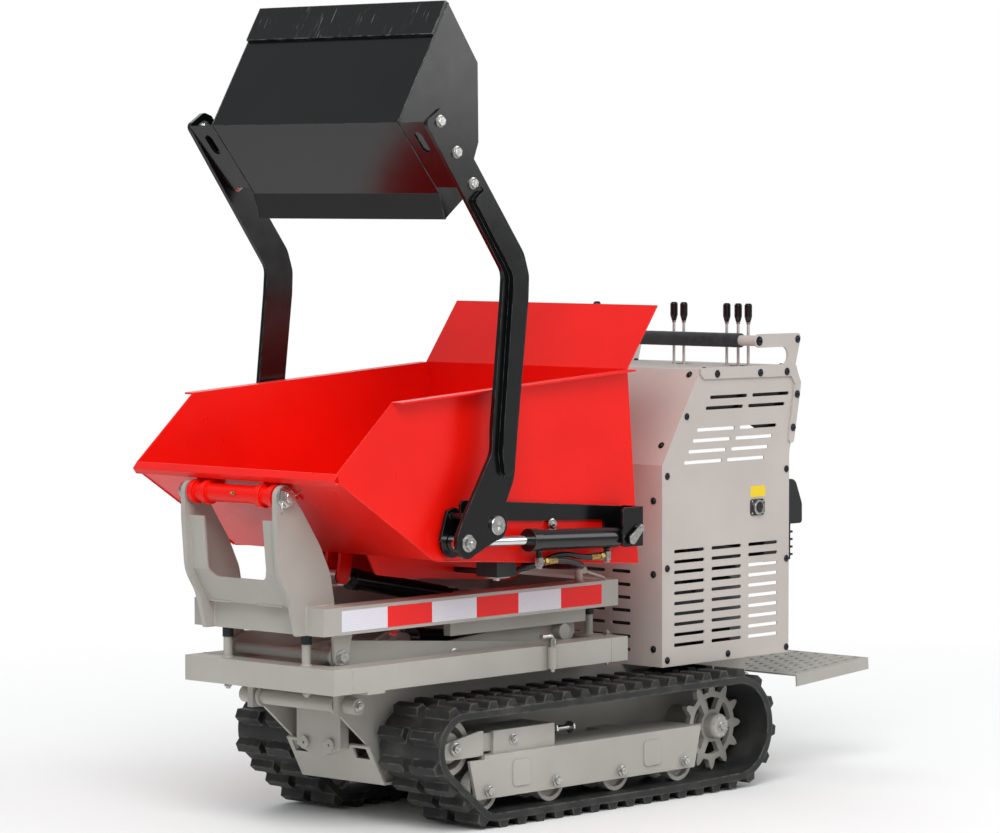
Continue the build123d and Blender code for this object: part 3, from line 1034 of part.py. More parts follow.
def make_handle_brackets():
    """Plates along the housing's upper edge, each raised at the rear into a hook that carries the handlebar."""
    y0, y1 = HOUSING_HALF, HOUSING_HALF + BRACKET_PLATE
    low, r = HOUSING_TOP_Z - 22, BAR_BOSS_R
    outline = [(BAR_X, BAR_Z + r), (-1050, BAR_Z + r - 1, 10), (-1028, HOUSING_TOP_Z + 1.5, 8), (-1049, 933), (-1027, 929),
               (-1014, low - 3), (-696, low), (-685, low + 11), (-682, HOUSING_TOP_Z + 4, 4),
               (HANDLE_CUT_X, HOUSING_TOP_Z + 4, HANDLE_CUT_R), (HANDLE_CUT_X, BAR_Z - r, HANDLE_CUT_R), (BAR_X, BAR_Z - r)]
    return both_sides(plate_xz(outline, y0, y1) + rod_y(BAR_X, BAR_Z, r, y0, y1))


def make_handlebar():
    """The bar between the two brackets."""
    return rod_y(BAR_X, BAR_Z, BAR_R, -HOUSING_HALF, HOUSING_HALF)


def make_grip():
    """The foam sleeve on the bar."""
    half = HOUSING_HALF - GRIP_SHORT
    return rod_y(BAR_X, BAR_Z, GRIP_R, -half, half) - rod_y(BAR_X, BAR_Z, BAR_R, -HOUSING_HALF, HOUSING_HALF)


def lever_places():
    """X and Y of every control lever."""
    return [(LEVER_X, y) for group in LEVER_GROUPS for y in group] + [SIDE_LEVER]


def make_levers():
    """Control levers on their cross shafts under the top sheet."""
    inside = HOUSING_HALF - HOUSING_SHEET
    shaft_z = HOUSING_TOP_Z - 40
    main = rod_y(LEVER_X, shaft_z, 7, -inside, inside)
    side = rod_y(SIDE_LEVER[0], shaft_z, 7, -inside, -inside + 80)
    foot = (Align.CENTER, Align.CENTER, Align.MIN)
    stems = [Pos(x, y, shaft_z) * Cylinder(LEVER_R, LEVER_TOP_Z - KNOB_LENGTH - shaft_z, align=foot)
             for x, y in lever_places()]
    return [main + stems[:-1], side + stems[-1]]


def make_knobs():
    """Oval knobs, thicker towards the top."""
    r, length = KNOB_R, KNOB_LENGTH
    profile = Polygon((0, 0), (r * 0.6, 0), (r, length * 0.3), (r, length - 4), (r - 3, length), (0, length), align=None)
    knob = revolve(Rot(90, 0, 0) * profile, Axis.Z)
    return [Pos(x, y, LEVER_TOP_Z - length) * knob for x, y in lever_places()]


def make_platform():
    """The folding foot platform: a folded rim round a slotted tread, on two hinge ears and a rod."""
    x0, x1, top = PLATFORM_REAR_X, PLATFORM_FRONT_X, PLATFORM_Z + PLATFORM_RIM
    wall = PLATFORM_SHEET
    rim = block(x0, x1, -PLATFORM_HALF, PLATFORM_HALF, PLATFORM_Z, top)
    rim -= block(x0 + wall, x1 + 1, -PLATFORM_HALF + wall, PLATFORM_HALF - wall, PLATFORM_Z - 1, top - wall)
    slots = []
    columns = round(2 * PLATFORM_HALF / TREAD_PITCH_Y) - 1
    rows = int((x1 - x0 - wall) / TREAD_PITCH_X)
    tread = Box(TREAD_LENGTH, TREAD_WIDTH, 6 * wall)
    for i in range(columns):
        y = (i - (columns - 1) / 2) * TREAD_PITCH_Y
        for j in range(rows - i % 2):
            x = x0 + TREAD_PITCH_X * (j + 0.55 + (i % 2) / 2)
            slots.append(Pos(x, y, top) * tread)
    rim -= slots
    ear = plate_xz([(x1 - wall, PLATFORM_Z), (PLATFORM_HINGE_X, PLATFORM_HINGE_Z - PLATFORM_HINGE_R),
                    (PLATFORM_HINGE_X, PLATFORM_HINGE_Z + PLATFORM_HINGE_R), (x1 - wall, top)],
                   PLATFORM_EAR_Y, PLATFORM_EAR_Y + LUG_PLATE)
    for s in both_sides(ear):
        rim += s
    rim += rod_y(PLATFORM_HINGE_X, PLATFORM_HINGE_Z, PLATFORM_HINGE_R, -PLATFORM_EAR_Y - 28, PLATFORM_EAR_Y + 28)
    hinge = Pos(PLATFORM_HINGE_X, 0, PLATFORM_HINGE_Z)
    return hinge * Rot(0, PLATFORM_RISE, 0) * Pos(-PLATFORM_HINGE_X, 0, -PLATFORM_HINGE_Z) * rim


def make_platform_bracket():
    """Hinge plates under the rear of the chassis that carry the platform."""
    x, z = PLATFORM_HINGE_X, PLATFORM_HINGE_Z
    y0 = PLATFORM_EAR_Y + 13
    under = HOUSING_LOW_Z - CHASSIS_PLATE
    plate = plate_xz([(x, z - 15), (x, z + 15), (x + 18, z + 15), (x + 34, z + 30), (x + 34, under),
                      (x + 80, under), (x + 80, z), (x + 60, z - 15)], y0, y0 + 8)
    plate += rod_y(x, z, 15, y0, y0 + 8)
    return both_sides(plate - rod_y(x, z, PLATFORM_HINGE_R + PIN_FIT, y0 - 5, y0 + 20))


def move_home(shape):
    """Set a shape in the machine's own frame."""
    return Pos(-MID_X, 0, 0) * shape


NODES = {}


def add(name, shape):
    """Names a node of the machine."""
    NODES[name] = shape


def left_right(name, shape):
    """The shape and its mirror image as two nodes."""
    left, right = both_sides(shape)
    add(name + "_left", left)
    add(name + "_right", right)


def pieces(parts):
    """Like pieces that don't touch, kept together under one name."""
    return Compound([solid for part in parts for solid in part.solids()])


def mirrored(shape):
    """The pieces of a left-hand node and of its mirror image."""
    return pieces(both_sides(shape))


left_right("track", Pos(0, TRACK_Y, 0) * make_track())
add("sprockets", mirrored(make_sprocket()))
add("idlers", mirrored(make_idler()))
add("rollers", mirrored(pieces(make_rollers())))
add("track_frames", mirrored(make_track_frame()))
add("tensioners", mirrored(make_tensioner()))
add("chassis", make_chassis())
add("drive_motors", pieces(make_drives()))
add("skid_pan", make_skid())
add("pivot_tube", make_pivot())
add("lower_frame", make_lower_frame())
add("latch_pin", make_latch_pin())
add("stop_posts", pieces(make_posts()))
add("stop_buffers", pieces(make_buffers()))
add("scissor_arms_inner", make_inner_arms())
add("scissor_arms_outer", make_outer_arms())
LIFT_A, LIFT_B = (LIFT_BARREL_X, LIFT_BARREL_Z), (LIFT_EYE_X, LIFT_EYE_Z)
add("lift_barrel", make_barrel(LIFT_A, LIFT_B, LIFT_BARREL_LENGTH, LIFT_BARREL_R, LIFT_ROD_R, SCISSOR_PIN_R))
add("lift_rod", make_rod(LIFT_A, LIFT_B, LIFT_ROD_START, LIFT_ROD_R, SCISSOR_PIN_R))
add("upper_frame", make_upper_frame())
add("hinge_horns", make_horns())
add("hinge_pin", make_hinge_pin())
TIP_A, TIP_B = (TIP_BARREL_X, TIP_BARREL_Z), (TIP_EYE_X, TIP_EYE_Z)
add("tip_barrel", make_barrel(TIP_A, TIP_B, TIP_BARREL_LENGTH, TIP_BARREL_R, TIP_ROD_R, SCISSOR_PIN_R))
add("tip_rod", make_rod(TIP_A, TIP_B, TIP_ROD_START, TIP_ROD_R, SCISSOR_PIN_R))
add("skip_shell", make_skip())
add("skip_hinge", make_skip_hinge())
add("skip_ribs", pieces(make_underbox()))
add("rubber_stops", pieces(make_rubber_stops()))
add("loader_side_plates", pieces(make_side_plates()))
add("cylinder_mounts", pieces(make_cylinder_mounts()))
loader_barrel = make_barrel(CYL_A, CYL_B, CYL_BARREL_LENGTH, CYL_BARREL_R, CYL_ROD_R, ROD_PIN_R, CYL_Y)
add("loader_barrels", mirrored(loader_barrel))
add("loader_rods", mirrored(make_rod(CYL_A, CYL_B, CYL_ROD_START, CYL_ROD_R, ROD_PIN_R, CYL_Y)))
add("hydraulic_fittings", pieces(make_fittings()))
add("hose_front", make_hose(HOSE_FRONT))
add("hose_rear", make_hose(HOSE_REAR))
add("loader_arms", mirrored(make_loader_arm()))
add("bucket", make_bucket())
add("cutting_edge", make_cutting_edge())
add("bucket_brackets", pieces(make_bucket_brackets()))
add("housing_sides", mirrored(make_housing_side()))
add("housing_front", make_housing_front())
add("housing_top", make_housing_top())
add("housing_floor", make_housing_floor())
add("engine", make_engine())
add("starter_case", make_recoil())
add("air_filter", make_air_filter())
add("fuel_tank", make_fuel_tank())
add("handle_brackets", pieces(make_handle_brackets()))
add("handlebar", make_handlebar())
add("grip", make_grip())
add("levers", pieces(make_levers()))
add("lever_knobs", pieces(make_knobs()))
add("platform", make_platform())
add("platform_brackets", pieces(make_platform_bracket()))

os.makedirs("parts", exist_ok=True)
for name, shape in NODES.items():
    export_step(move_home(shape), f"parts/{name}.step")

print("mid_x", MID_X, "loop", LOOP_LENGTH, LUG_COUNT)
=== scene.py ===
import math

import bmesh
import bpy
from mathutils import Euler, Matrix, Vector


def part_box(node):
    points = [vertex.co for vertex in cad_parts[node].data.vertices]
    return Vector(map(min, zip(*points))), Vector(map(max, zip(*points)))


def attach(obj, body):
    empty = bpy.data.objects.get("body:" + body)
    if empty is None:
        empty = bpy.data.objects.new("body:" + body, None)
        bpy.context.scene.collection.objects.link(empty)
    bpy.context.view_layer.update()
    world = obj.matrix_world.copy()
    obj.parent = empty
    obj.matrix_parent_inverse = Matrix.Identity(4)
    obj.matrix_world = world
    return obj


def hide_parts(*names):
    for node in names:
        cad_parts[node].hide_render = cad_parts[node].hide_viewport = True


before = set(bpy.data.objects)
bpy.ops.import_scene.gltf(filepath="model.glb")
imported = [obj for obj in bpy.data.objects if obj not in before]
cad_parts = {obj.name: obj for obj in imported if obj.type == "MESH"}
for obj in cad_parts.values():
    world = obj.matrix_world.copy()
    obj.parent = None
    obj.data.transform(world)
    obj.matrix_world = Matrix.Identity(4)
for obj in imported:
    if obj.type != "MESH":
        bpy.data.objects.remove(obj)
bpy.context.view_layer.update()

# The photograph's view: a long lens about nine metres in front of the machine's left corner, a little above
# the skip's headboard. The machine stands level, and so does the horizon but for a tenth of a degree.
EYE = Vector((7.102, 6.583, 1.3966))
YAW, PITCH, ROLL = 223.222, 3.115, -0.1
SENSOR, LENS = 36.0, 152.3

photographer = bpy.data.cameras.new("photographer")
photographer.sensor_width = SENSOR
photographer.lens = LENS
photographer.clip_end = 100
eye = bpy.data.objects.new("photographer", photographer)
aimed = Euler((math.radians(90 - PITCH), 0, math.radians(YAW - 90))).to_matrix()
aimed = aimed @ Matrix.Rotation(math.radians(ROLL), 3, "Z")
eye.matrix_world = Matrix.Translation(EYE) @ aimed.to_4x4()
bpy.context.scene.collection.objects.link(eye)
bpy.context.scene.camera = eye
bpy.context.scene.view_settings.view_transform = "Standard"


# The two hydraulic hoses of the left loader cylinder: oil-proof rubber over a steel braid, cured in a smooth
# cloth wrap, so the cover is satin black with a faint weave. They leave brass ferrules and go in to the ribs
# under the skip.
DATUM = 370.25
HOSE = 13.0
HOSE_FRONT = [(-85, 344, 578), (-110, 344, 578), (-195, 342, 556), (-240, 210, 545), (-240, 102.3, 545)]
HOSE_REAR = [(-198, 344, 578), (-180, 344, 578), (-110, 326, 592), (-20, 326, 562), (-20, 200, 548),
             (-20, 102.3, 548)]
FRONT_LONG, REAR_LONG = 0.346, 0.388
HOSE_BLACK, HOSE_GREY = "#17181A", "#26282B"
WRAP_MM = 1.6


def linear(code):
    """An sRGB hex colour as the linear colour that a shader takes."""
    channels = [int(code[i:i + 2], 16) / 255 for i in (1, 3, 5)]
    return tuple(c / 12.92 if c <= 0.04045 else ((c + 0.055) / 1.055) ** 2.4 for c in channels) + (1.0,)


def node(tree, kind, sockets=None, **settings):
    """Adds a node with its settings, and gives its sockets a value each or a link."""
    made = tree.nodes.new(kind)
    for name, value in settings.items():
        setattr(made, name, value)
    for name, value in (sockets or {}).items():
        if isinstance(value, bpy.types.NodeSocket):
            tree.links.new(value, made.inputs[name])
        else:
            made.inputs[name].default_value = value
    return made


def blank(name):
    """A material with only its output, and its tree."""
    made = bpy.data.materials.new(name)
    made.use_nodes = True
    made.node_tree.nodes.clear()
    return made, made.node_tree


def noise_of(tree, size_mm, detail):
    """A noise whose grains have a real size."""
    place = node(tree, "ShaderNodeTexCoord")
    return node(tree, "ShaderNodeTexNoise", {"Vector": place.outputs["Object"], "Scale": 1000 / size_mm,
                                             "Detail": detail}).outputs["Fac"]


def clouds(tree, size_mm, low, high, detail=4.0):
    """A slow change over a surface, from 0 to 1, between two levels of a noise."""
    return node(tree, "ShaderNodeMapRange", {"Value": noise_of(tree, size_mm, detail), "From Min": low,
                                             "From Max": high}).outputs["Result"]


def rounded(tree, radius_mm):
    """Normals that round the edges by a radius, as a real edge catches the light."""
    return node(tree, "ShaderNodeBevel", {"Radius": radius_mm / 1000}, samples=4).outputs[0]


def grain(tree, size_mm, strength, depth_mm, normal=None):
    """A bump of grains of a real size, over a normal."""
    sockets = {"Height": noise_of(tree, size_mm, 3.0), "Strength": strength, "Distance": depth_mm / 1000}
    if normal is not None:
        sockets["Normal"] = normal
    return node(tree, "ShaderNodeBump", sockets).outputs[0]


def between(tree, share, first, second):
    """A colour between two, by a share."""
    return node(tree, "ShaderNodeMix", {"Factor": share, 6: first, 7: second}, data_type="RGBA").outputs[2]


def finish_with(tree, sockets):
    """The surface shader and the output."""
    surface = node(tree, "ShaderNodeBsdfPrincipled", sockets)
    node(tree, "ShaderNodeOutputMaterial", {"Surface": surface.outputs[0]})


def at(x, y, z):
    """A place in millimetres from the datum between the tracks, as metres from the machine's middle."""
    return Vector((x + DATUM, y, z)) / 1000


hose_cover, tree = blank("hose_cover_rubber")
wrap = between(tree, clouds(tree, 30, 0.4, 0.7), linear(HOSE_BLACK), linear(HOSE_GREY))
finish_with(tree, {"Base Color": wrap, "Roughness": 0.4, "IOR": 1.52,
                   "Normal": grain(tree, WRAP_MM, 0.3, 0.2)})

for name, route, length in (("front", HOSE_FRONT, FRONT_LONG), ("rear", HOSE_REAR, REAR_LONG)):
    line = bpy.data.curves.new("hose_" + name, "CURVE")
    line.dimensions = "3D"
    line.bevel_depth = HOSE / 2000
    line.bevel_resolution = 5
    line.use_fill_caps = True
    run = line.splines.new("NURBS")
    run.points.add(len(route) - 1)
    for point, place in zip(run.points, route):
        point.co = (*at(*place), 1.0)
    run.order_u = 3
    run.use_endpoint_u = True
    run.resolution_u = 10
    line.materials.append(hose_cover)
    hose = bpy.data.objects.new("loader_hose_" + name, line)
    bpy.context.scene.collection.objects.link(hose)
    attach(hose, "loader_barrels")
    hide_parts("hose_" + name)


# A photographer's cove: painted white board under the machine, an overcast sky above it, and large soft
# lights. The board is matt emulsion, so it keeps the machine's soft shadow, and further out it turns into
# plain white light. Glossy paint mirrors a dimmer room than the one that lights it, as in the photograph.
BOARD = 60.0
BOARD_WHITE = "#F6F6F5"
SKY_WHITE, SKY_LOW = "#F4F6F8", "#9DA0A2"
SHADOW_REACH, SHADOW_END = 1.3, 3.6
ROOM_GLOW = 0.5
SKY_LIGHT, SKY_MIRRORED = 0.75, 0.42
SKY_RISE = (-0.1, 0.55)
KEY = ("key", (4.0, 3.4, 5.0), 3.4, 260, (0.1, 0.1, 0.7))
FILL = ("fill", (-4.5, 4.5, 3.0), 3.0, 85, (-0.2, 0.0, 0.6))
BACK = ("back", (-2.5, -4.5, 4.0), 3.0, 60, (0.0, 0.0, 0.8))

board_paint, tree = blank("white_board")
place = node(tree, "ShaderNodeTexCoord")
reach = node(tree, "ShaderNodeVectorMath", {0: place.outputs["Object"]}, operation="LENGTH")
far = node(tree, "ShaderNodeMapRange", {"Value": reach.outputs["Value"], "From Min": SHADOW_REACH,
                                        "From Max": SHADOW_END})
matt = node(tree, "ShaderNodeBsdfDiffuse", {"Color": linear(BOARD_WHITE)})
ray = node(tree, "ShaderNodeLightPath")
lit = node(tree, "ShaderNodeMapRange", {"Value": ray.outputs["Is Camera Ray"], "To Min": ROOM_GLOW})
glow = node(tree, "ShaderNodeEmission", {"Color": (1, 1, 1, 1), "Strength": lit.outputs["Result"]})
mixed = node(tree, "ShaderNodeMixShader", {0: far.outputs["Result"], 1: matt.outputs[0], 2: glow.outputs[0]})
node(tree, "ShaderNodeOutputMaterial", {"Surface": mixed.outputs[0]})

form = bmesh.new()
bmesh.ops.create_circle(form, cap_ends=True, segments=96, radius=BOARD)
board_mesh = bpy.data.meshes.new("board")
form.to_mesh(board_mesh)
form.free()
board = bpy.data.objects.new("board", board_mesh)
board_mesh.materials.append(board_paint)
bpy.context.scene.collection.objects.link(board)

sky = bpy.data.worlds.new("overcast")
sky.use_nodes = True
bpy.context.scene.world = sky
tree = sky.node_tree
tree.nodes.clear()
ray = node(tree, "ShaderNodeLightPath")
aim = node(tree, "ShaderNodeTexCoord")
axes = node(tree, "ShaderNodeSeparateXYZ", {0: aim.outputs["Generated"]})
height = node(tree, "ShaderNodeMapRange", {"Value": axes.outputs["Z"], "From Min": SKY_RISE[0],
                                           "From Max": SKY_RISE[1]})
dome = between(tree, height.outputs["Result"], linear(SKY_LOW), linear(SKY_WHITE))
level = node(tree, "ShaderNodeMapRange", {"Value": ray.outputs["Is Glossy Ray"], "To Min": SKY_LIGHT,
                                          "To Max": SKY_MIRRORED})
daylight = node(tree, "ShaderNodeBackground", {"Color": dome, "Strength": level.outputs["Result"]})
backdrop = node(tree, "ShaderNodeBackground", {"Color": (1, 1, 1, 1), "Strength": 1.0})
seen = node(tree, "ShaderNodeMixShader", {0: ray.outputs["Is Camera Ray"], 1: daylight.outputs[0],
                                          2: backdrop.outputs[0]})
node(tree, "ShaderNodeOutputWorld", {"Surface": seen.outputs[0]})

for name, spot, size, power, aim_at in (KEY, FILL, BACK):
    lamp = bpy.data.lights.new(name, "AREA")
    lamp.energy = power
    lamp.size = size
    holder = bpy.data.objects.new(name, lamp)
    holder.location = spot
    holder.rotation_euler = (Vector(aim_at) - Vector(spot)).to_track_quat("-Z", "Y").to_euler()
    bpy.context.scene.collection.objects.link(holder)


# The rubber tracks: black rubber moulded over steel cords and released from a hot steel mould. It is matt
# and faintly blue-black, with a fine grain and a little dust on it; the lug edges are a painted highlight in
# khaki.
RUBBER, RUBBER_DUST_AND_HIGHLIGHT = "#17191B", "#7E7B6C"
DUST_SHARE, LUG_EDGE_HIGHLIGHT, HIGHLIGHT_EDGE_MM = 0.13, 0.6, 6.0
GRAIN_MM, LUG_ROUND_MM = 3.0, 2.5
EDGE_DOT = 0.93


def dress(names, material):
    """Gives CAD nodes a finish."""
    for name in names:
        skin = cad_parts[name].data.materials
        skin.clear()
        skin.append(material)


def edge_highlight_mask(tree, radius_mm, share):
    """Where the edges are, from 0 to 1, for a painted highlight along them: a rounded normal leaves the flat
    one there.
    """
    flat = node(tree, "ShaderNodeNewGeometry")
    alike = node(tree, "ShaderNodeVectorMath", {0: rounded(tree, radius_mm), 1: flat.outputs["Normal"]},
                 operation="DOT_PRODUCT")
    edge = node(tree, "ShaderNodeMapRange", {"Value": alike.outputs["Value"], "From Min": 0.99,
                                             "From Max": EDGE_DOT, "To Max": share})
    patches = node(tree, "ShaderNodeMath", {0: edge.outputs["Result"], 1: clouds(tree, 25, 0.38, 0.62)},
                   operation="MULTIPLY")
    return patches.outputs[0]


track_rubber, tree = blank("track_rubber")
crowns = node(tree, "ShaderNodeMath", {0: clouds(tree, 60, 0.45, 0.75), 1: DUST_SHARE}, operation="MULTIPLY")
# The lug edges take the khaki colour as a painted highlight; the clouds on the crowns are dust.
dust_and_highlight = node(tree, "ShaderNodeMath", {0: crowns.outputs[0], 1: edge_highlight_mask(tree, HIGHLIGHT_EDGE_MM, LUG_EDGE_HIGHLIGHT)},
            operation="MAXIMUM")
finish_with(tree, {"Base Color": between(tree, dust_and_highlight.outputs[0], linear(RUBBER), linear(RUBBER_DUST_AND_HIGHLIGHT)),
                   "Roughness": 0.6, "IOR": 1.52,
                   "Normal": grain(tree, GRAIN_MM, 0.3, 0.3, rounded(tree, LUG_ROUND_MM))})
dress(["track_left", "track_right"], track_rubber)


# The grey steelwork of undercarriage and frames: welded mild steel, shot blasted and sprayed with a warm
# light grey enamel. It has a satin gloss with a faint orange peel, and its sharp edges are painted a little
# brighter as a painted highlight, with a little wear.
GREY, GREY_DEEP, GREY_EDGE_HIGHLIGHT = "#B3B0A9", "#A5A29A", "#D8D6D0"
PEEL_MM = 4.0


def enamel(name, colours, roughness, peel, coat=0.0, edge_mm=1.5, wear_and_highlight=0.5, shine=0.5):
    """Sprayed paint on steel: a dielectric film with orange peel, a little darker in slow clouds, and lighter
    along the edges as a painted highlight, with a little wear. Shine is the strength of its reflection."""
    colour, shade, edge_highlight_colour = colours
    made, tree = blank(name)
    film = between(tree, clouds(tree, 220, 0.3, 0.7), linear(colour), linear(shade))
    rough = node(tree, "ShaderNodeMapRange", {"Value": noise_of(tree, 45, 4.0), "To Min": roughness - 0.06,
                                              "To Max": roughness + 0.06})
    # The edges take a lighter colour: a painted highlight, with a little wear.
    finish_with(tree, {"Base Color": between(tree, edge_highlight_mask(tree, edge_mm, wear_and_highlight), film, linear(edge_highlight_colour)),
                       "Roughness": rough.outputs["Result"], "IOR": 1.48, "Specular IOR Level": shine,
                       "Coat Weight": coat, "Coat Roughness": 0.08,
                       "Normal": grain(tree, PEEL_MM, peel, 0.1, rounded(tree, edge_mm))})
    return made


grey_enamel = enamel("grey_enamel", (GREY, GREY_DEEP, GREY_EDGE_HIGHLIGHT), 0.42, 0.2)
dress(["track_frames", "tensioners", "chassis", "drive_motors", "skid_pan", "pivot_tube", "idlers", "rollers",
       "sprockets", "lower_frame", "stop_posts", "scissor_arms_inner", "scissor_arms_outer", "upper_frame",
       "hinge_horns", "platform", "platform_brackets"], grey_enamel)


# Bolts, nuts and washers of the undercarriage: cold-headed steel, bright zinc plated to a soft silvery metal,
# a little cloudy. They hold the rollers, the axles of idler and sprocket and the pivot tube, and a long bolt
# with a lock nut sets the track's tension.
ZINC, ZINC_DULL = "#CFCFCB", "#A9A9A6"
ROLLER_X, ROLLER_Z = (74.5, -143.3, -361.1, -578.9), 81.0
IDLER_X, IDLER_Z = 172.0, 182.0
SPROCKET_X, SPROCKET_Z = -745.0, 142.0
TENSION_Z, TENSION_REAR_X, TENSION_BOLT = 184.0, -156.0, 108.0
PIVOT = (360.0, 282.0)
TRACK_Y = 224.6
AXLE_NUTS, AXLE_NUT_RING, AXLE_NUT_TURN = 8, 22.0, 22.0
AXLE_NUT = [(4.2, 0), (4.2, 5), (3.6, 5.6)]
SMALL_HEX, HEX, WIDE_HEX = 15, 17, 19
LOCK_NUT, LOCK_NUT_BACK = 22, 46.0
TENSION_HEAD, TENSION_HEAD_BACK = 20, 104.0
TUBE_BOLT_X, TENSION_HALF = -20.0, 50.0
PROUD = 0.2

zinc, tree = blank("bright_zinc_plate")
finish_with(tree, {"Base Color": between(tree, clouds(tree, 6, 0.35, 0.7), linear(ZINC), linear(ZINC_DULL)),
                   "Metallic": 1.0, "Roughness": 0.3,
                   "Normal": grain(tree, 1.5, 0.15, 0.08, rounded(tree, 0.6))})


def turned(form, place, axis, profile, segments=24, material=0):
    """A turned shape: a profile of radius and height in millimetres, spun round an axis that starts at a
    place. With six segments it is a hexagon."""
    axis = Vector(axis).normalized()
    across = axis.orthogonal().normalized()
    up = axis.cross(across)
    rings = []
    for radius, height in profile:
        ring = []
        for i in range(segments):
            turn = 2 * math.pi * i / segments
            arm = (across * math.cos(turn) + up * math.sin(turn)) * radius
            ring.append(form.verts.new(place + (arm + axis * height) / 1000))
        rings.append(ring)
    faces = [form.faces.new(rings[0][::-1]), form.faces.new(rings[-1])]
    for low, high in zip(rings, rings[1:]):
        for i in range(segments):
            j = (i + 1) % segments
            faces.append(form.faces.new((low[i], low[j], high[j], high[i])))
    for face in faces:
        face.material_index = material


def hex_head(form, place, axis, across, stud=0.0):
    """A washer with a hex head on it, by the size across its flats. With a stud it is a nut on its bolt."""
    corner, high = across / math.sqrt(3), 0.4 * across
    tip = high + 1.0 + stud
    washer = [(corner * 1.22, 0), (corner * 1.22, 1.6), (corner * 1.14, 2.0)]
    head = [(corner * 0.94, 1.8), (corner, 2.6), (corner, high), (corner * 0.86, high + 1.2)]
    shank = [(corner * 0.5, 2), (corner * 0.5, tip), (corner * 0.4, tip + 0.8)]
    turned(form, place, axis, washer)
    turned(form, place, axis, head, 6)
    turned(form, place, axis, shank, 16)


def fitted(name, form, materials, body, smooth=35):
    """Closes a mesh into a named piece that rides with a body and takes its finish from a slot."""
    bmesh.ops.recalc_face_normals(form, faces=form.faces)
    mesh = bpy.data.meshes.new(name)
    form.to_mesh(mesh)
    form.free()
    mesh.polygons.foreach_set("use_smooth", [True] * len(mesh.polygons))
    mesh.set_sharp_from_angle(angle=math.radians(smooth))
    for material in materials:
        mesh.materials.append(material)
    made = bpy.data.objects.new(name, mesh)
    bpy.context.scene.collection.objects.link(made)
    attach(made, body)
    return made


FRAME_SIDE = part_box("track_frames")[1].y * 1000
FORK_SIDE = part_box("tensioners")[1].y * 1000
CAP_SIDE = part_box("sprockets")[1].y * 1000
PIVOT_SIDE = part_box("pivot_tube")[1].y * 1000
form = bmesh.new()
for side in (1, -1):
    out = (0, side, 0)
    for x in ROLLER_X:
        hex_head(form, at(x, side * (FRAME_SIDE + PROUD), ROLLER_Z), out, HEX)
    hex_head(form, at(IDLER_X, side * (FORK_SIDE + PROUD), IDLER_Z), out, WIDE_HEX, 3)
    hex_head(form, at(SPROCKET_X, side * (CAP_SIDE + PROUD), SPROCKET_Z), out, SMALL_HEX)
    for i in range(AXLE_NUTS):
        turn = math.radians(360 / AXLE_NUTS * i + AXLE_NUT_TURN)
        along, up = AXLE_NUT_RING * math.cos(turn), AXLE_NUT_RING * math.sin(turn)
        turned(form, at(SPROCKET_X + along, side * (CAP_SIDE - 5), SPROCKET_Z + up), out, AXLE_NUT, 6)
    tail = at(TENSION_REAR_X + 4, side * TRACK_Y, TENSION_Z)
    turned(form, tail, (-1, 0, 0), [(7, 0), (7, TENSION_BOLT), (6, TENSION_BOLT + 1)], 16)
    nut, head = [at(TENSION_REAR_X - back, side * TRACK_Y, TENSION_Z)
                 for back in (LOCK_NUT_BACK, TENSION_HEAD_BACK)]
    hex_head(form, nut, (-1, 0, 0), LOCK_NUT)
    hex_head(form, head, (-1, 0, 0), TENSION_HEAD)
    hex_head(form, at(PIVOT[0], side * (PIVOT_SIDE + PROUD), PIVOT[1]), out, HEX, 2)
    hex_head(form, at(TUBE_BOLT_X, side * (TRACK_Y + TENSION_HALF + PROUD), TENSION_Z), out, HEX, 4)
fitted("undercarriage_bolts", form, [zinc], "chassis")


# The lower frame: square tube welded into a ring, with a guide tube for the spring latch. Its joints have
# ground-down beads, bolts come through at the rear corners, and lock nuts show below the stop posts.
LOWER_TOP, LOWER_LOW = 374.6, 319.6
LOWER_FRONT, LOWER_REAR, LOWER_HALF, LOWER_TUBE = 487.7, -449.1, 232.0, 55.0
LATCH_X, LATCH_Y = -185.0, 241.0
CORNER_BOLT = (-436.0, 180.0)
SPRING_R, SPRING_TURNS, SPRING_HIGH, SPRING_STEPS = 8.5, 5, 16.0, 16
POSTS = ((462, 122), (-421, 137))
TACKS, TACK_RING = 6, 10.0
RIPPLE = 3.5


def bead(form, start, end, radius=2.6):
    """A weld bead: a run of metal that ripples with the welder's steps."""
    run = end - start
    long = run.length * 1000
    steps = max(4, round(long / RIPPLE))
    profile = [(radius * 0.5, 0)]
    profile += [(radius * (0.9 + 0.1 * (-1) ** i), long * (i + 0.5) / steps) for i in range(steps)]
    turned(form, start, run, profile + [(radius * 0.5, long)], 8)


def tube(form, points, radius, segments=8):
    """A round wire through a few places, its radius in millimetres."""
    rings = []
    for i, place in enumerate(points):
        way = points[min(i + 1, len(points) - 1)] - points[max(i - 1, 0)]
        across = way.cross(Vector((0.3, 0.2, 1.0))).normalized()
        up = way.normalized().cross(across)
        arms = [2 * math.pi * k / segments for k in range(segments)]
        rings.append([form.verts.new(place + (across * math.cos(turn) + up * math.sin(turn)) * radius / 1000)
                      for turn in arms])
    form.faces.new(rings[0][::-1])
    form.faces.new(rings[-1])
    for low, high in zip(rings, rings[1:]):
        for k in range(segments):
            m = (k + 1) % segments
            form.faces.new((low[k], low[m], high[m], high[k]))


